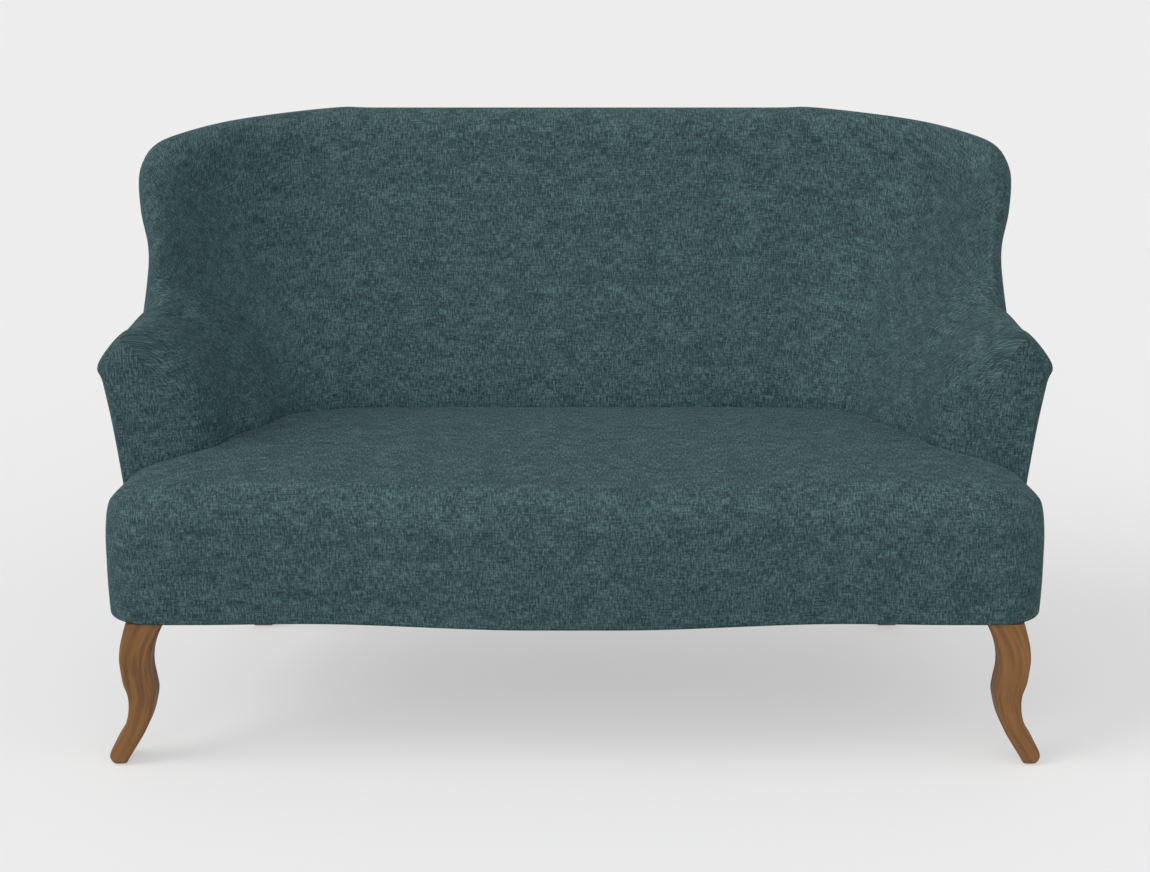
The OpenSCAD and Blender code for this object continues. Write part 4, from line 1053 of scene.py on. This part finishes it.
def build_dust_cover(net):
    """The lining under the seat, stretched from rail to rail: rings from the middle out to the
    outline of the base, on two sides of a thin cloth."""
    z = sizes()
    inset, thick, sag = .018, .0008, .002
    front_points, shell_points, rings = 60, 240, 24
    x = np.linspace(0, z.seat_w / 2 - inset, front_points)
    side = z.seat_w / 2 - z.side_in - inset
    front = np.stack([np.minimum(x, side), front_y(x) + front_line() + inset], -1)
    points, normals = shell(net, np.linspace(0, MIDDLE, shell_points), np.array([0.0]))
    foot = (points - normals * inset)[:, 0, :2]
    half = np.concatenate([front, foot])
    ring = np.concatenate([half, half[::-1] * (-1, 1), half[:1]])
    middle = np.array([0, (ring[:, 1].min() + ring[:, 1].max()) / 2])
    f = np.linspace(0, 1, rings)[:, None, None]
    flat = mix(middle, ring[None], f)
    hang = np.broadcast_to(sag * (1 - f ** 2), flat[..., :1].shape)
    under = np.concatenate([flat, z.base_h - thick - hang], -1)
    over = under + (0, 0, thick)
    edge = np.stack([under[-1], over[-1]])
    patches = [(under, flat, True), (over, flat, False), (edge, np.stack([flat[-1]] * 2), True)]
    thing = piece("dust_cover_cloth", patches, material("dust_lining"))
    place_piece(thing, ["dust_cover"])


# Stage

FLOOR_HALF = 30
# White that camera rays add to the floor, and its share in what they see
GLOW, GLOW_SHARE = .92, .48
SKY_STRENGTH = .41
# Name, strength, and in degrees the width of the light, its tilt and its turn
LAMPS = (("key", 1.45, 40, 53, -70), ("fill", 1.3, 60, 76, -4), ("side", .45, 60, 60, 55))
# The camera: sensor in mm, focal length and picture width in pixels, metres in front of the seat
# and above the floor, and degrees down
SENSOR, FOCAL, PICTURE_W = 36, 2200, 1150
CAMERA_OUT, CAMERA_UP, CAMERA_TILT = 3.345, 1.496, 15.56


def seen_rays(tree):
    """1 for a ray from the camera, off a shiny surface or through a clear one, or else 0."""
    path = tree.nodes.new("ShaderNodeLightPath")
    total = path.outputs["Is Camera Ray"]
    for name in ("Is Glossy Ray", "Is Transmission Ray"):
        node = tree.nodes.new("ShaderNodeMath")
        node.operation = "MAXIMUM"
        tree.links.new(total, node.inputs[0])
        tree.links.new(path.outputs[name], node.inputs[1])
        total = node.outputs[0]
    return total


def build_floor():
    """A wide pale floor that shows paler than it lights the settee."""
    c = colours()
    half = FLOOR_HALF
    mesh = bpy.data.meshes.new("floor")
    mesh.from_pydata([(-half, -half, 0), (half, -half, 0), (half, half, 0), (-half, half, 0)],
                     [], [(0, 1, 2, 3)])
    floor = bpy.data.objects.new("floor", mesh)
    bpy.context.scene.collection.objects.link(floor)
    n = Nodes("floor")
    seen = seen_rays(n.tree)
    n.put(n.shader.inputs["Base Color"], n.blend(seen, c.bounce, c.floor))
    n.shader.inputs["Roughness"].default_value = 1
    n.shader.inputs["Specular IOR Level"].default_value = 0
    glow = n.add("ShaderNodeEmission", {0: (GLOW, GLOW, GLOW), 1: 1.0})
    join = n.add("ShaderNodeMixShader")
    n.put(join.inputs[0], n.maths("MULTIPLY", seen, GLOW_SHARE))
    n.put(join.inputs[1], n.shader.outputs[0])
    n.put(join.inputs[2], glow.outputs[0])
    n.put(n.tree.nodes["Material Output"].inputs[0], join.outputs[0])
    mesh.materials.append(n.material)


def build_sky():
    """An even white sky, which the camera sees as the backdrop."""
    world = bpy.data.worlds.new("studio")
    bpy.context.scene.world = world
    world.use_nodes = True
    tree = world.node_tree
    back = tree.nodes["Background"]
    back.inputs[0].default_value = (1, 1, 1, 1)
    back.inputs[1].default_value = SKY_STRENGTH
    seen = tree.nodes.new("ShaderNodeBackground")
    seen.inputs[0].default_value = (*colours().backdrop, 1)
    seen.inputs[1].default_value = 1
    join = tree.nodes.new("ShaderNodeMixShader")
    tree.links.new(seen_rays(tree), join.inputs[0])
    tree.links.new(back.outputs[0], join.inputs[1])
    tree.links.new(seen.outputs[0], join.inputs[2])
    tree.links.new(join.outputs[0], tree.nodes["World Output"].inputs[0])


def build_stage():
    """The floor, the sky, three wide lamps, and the camera of the photograph."""
    scene = bpy.context.scene
    build_floor()
    build_sky()
    for name, strength, spread, tilt, turn in LAMPS:
        data = bpy.data.lights.new(name, "SUN")
        data.energy = strength
        data.angle = math.radians(spread)
        lamp = bpy.data.objects.new(name, data)
        lamp.rotation_euler = (math.radians(tilt), 0, math.radians(turn))
        scene.collection.objects.link(lamp)
    view = bpy.data.cameras.new("camera")
    view.sensor_width = SENSOR
    view.lens = SENSOR * FOCAL / PICTURE_W
    camera = bpy.data.objects.new("camera", view)
    camera.location = (0, front_line() - CAMERA_OUT, CAMERA_UP)
    camera.rotation_euler = (math.radians(90 - CAMERA_TILT), 0, 0)
    scene.collection.objects.link(camera)
    scene.camera = camera
    scene.view_settings.view_transform = "Standard"


# Operators

class SETTEE_OT_back(bpy.types.Operator):
    """Builds the inside back"""

    bl_idname = "settee.back"
    bl_label = "Inside back"

    def execute(self, context):
        build_inside_back(shell_rows())
        return {"FINISHED"}


class SETTEE_OT_arms(bpy.types.Operator):
    """Builds the inside arms and the arm fronts"""

    bl_idname = "settee.arms"
    bl_label = "Arms"

    def execute(self, context):
        build_arms(shell_rows())
        build_arm_fronts(shell_rows())
        return {"FINISHED"}


class SETTEE_OT_outside(bpy.types.Operator):
    """Builds the outside arms and the outside back"""

    bl_idname = "settee.outside"
    bl_label = "Outside covers"

    def execute(self, context):
        build_outside(shell_rows())
        return {"FINISHED"}


class SETTEE_OT_seat(bpy.types.Operator):
    """Builds the seat"""

    bl_idname = "settee.seat"
    bl_label = "Seat"

    def execute(self, context):
        build_seat(shell_rows())
        return {"FINISHED"}


class SETTEE_OT_lining(bpy.types.Operator):
    """Builds the dust cover"""

    bl_idname = "settee.lining"
    bl_label = "Dust cover"

    def execute(self, context):
        build_dust_cover(shell_rows())
        return {"FINISHED"}


class SETTEE_OT_legs(bpy.types.Operator):
    """Builds the four legs"""

    bl_idname = "settee.legs"
    bl_label = "Legs"

    def execute(self, context):
        build_legs()
        return {"FINISHED"}


# Words in the names of the solids that keep their own shape, for each finish
CARRIED = {
    "beech_frame": ("rail", "post", "block", "brace", "frame", "stile"),
    "webbing": ("webbing",),
    "platform_cloth": ("platform_cloth",),
    "dust_lining": ("dust_cover",),
    "steel": ("bolts", "glides"),
    "leg_wood": ("leg",),
    "cover_fabric": ("cover", "panel"),
}


class SETTEE_OT_frame(bpy.types.Operator):
    """Finishes the frame, the webbing and the metal that the solids already give"""

    bl_idname = "settee.frame"
    bl_label = "Frame finishes"

    def execute(self, context):
        for name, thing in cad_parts.items():
            finish = next((k for k, words in CARRIED.items()
                           if any(w in name for w in words)), "platform_cloth")
            for place in thing.material_slots:
                place.material = material(finish)
        return {"FINISHED"}


class SETTEE_OT_stage(bpy.types.Operator):
    """Builds the floor, the light and the camera"""

    bl_idname = "settee.stage"
    bl_label = "Stage"

    def execute(self, context):
        build_stage()
        return {"FINISHED"}


class SETTEE_PT_panel(bpy.types.Panel):
    """Lists the settee's pieces and settings"""

    bl_label = "High back settee"
    bl_idname = "SETTEE_PT_panel"
    bl_space_type = "VIEW_3D"
    bl_region_type = "UI"
    bl_category = "Settee"

    def draw(self, context):
        for operator in OPERATORS:
            self.layout.operator(operator.bl_idname)
        for group in (context.scene.settee_sizes, context.scene.settee_colours):
            column = self.layout.column()
            for name in group.__annotations__:
                column.prop(group, name)


OPERATORS = (SETTEE_OT_frame, SETTEE_OT_back, SETTEE_OT_arms, SETTEE_OT_outside, SETTEE_OT_seat,
             SETTEE_OT_lining, SETTEE_OT_legs, SETTEE_OT_stage)
CLASSES = (SetteeSizes, SetteeColours, *OPERATORS, SETTEE_PT_panel)


def register():
    """Makes the classes and the scene's settings known."""
    for kind in CLASSES:
        bpy.utils.register_class(kind)
    bpy.types.Scene.settee_sizes = bpy.props.PointerProperty(type=SetteeSizes)
    bpy.types.Scene.settee_colours = bpy.props.PointerProperty(type=SetteeColours)


def unregister():
    """Undoes register."""
    del bpy.types.Scene.settee_colours
    del bpy.types.Scene.settee_sizes
    for kind in reversed(CLASSES):
        bpy.utils.unregister_class(kind)


def main():
    """Runs every operator in order."""
    register()
    for operator in OPERATORS:
        group, name = operator.bl_idname.split(".")
        getattr(getattr(bpy.ops, group), name)()


if __name__ == "__main__":
    main()
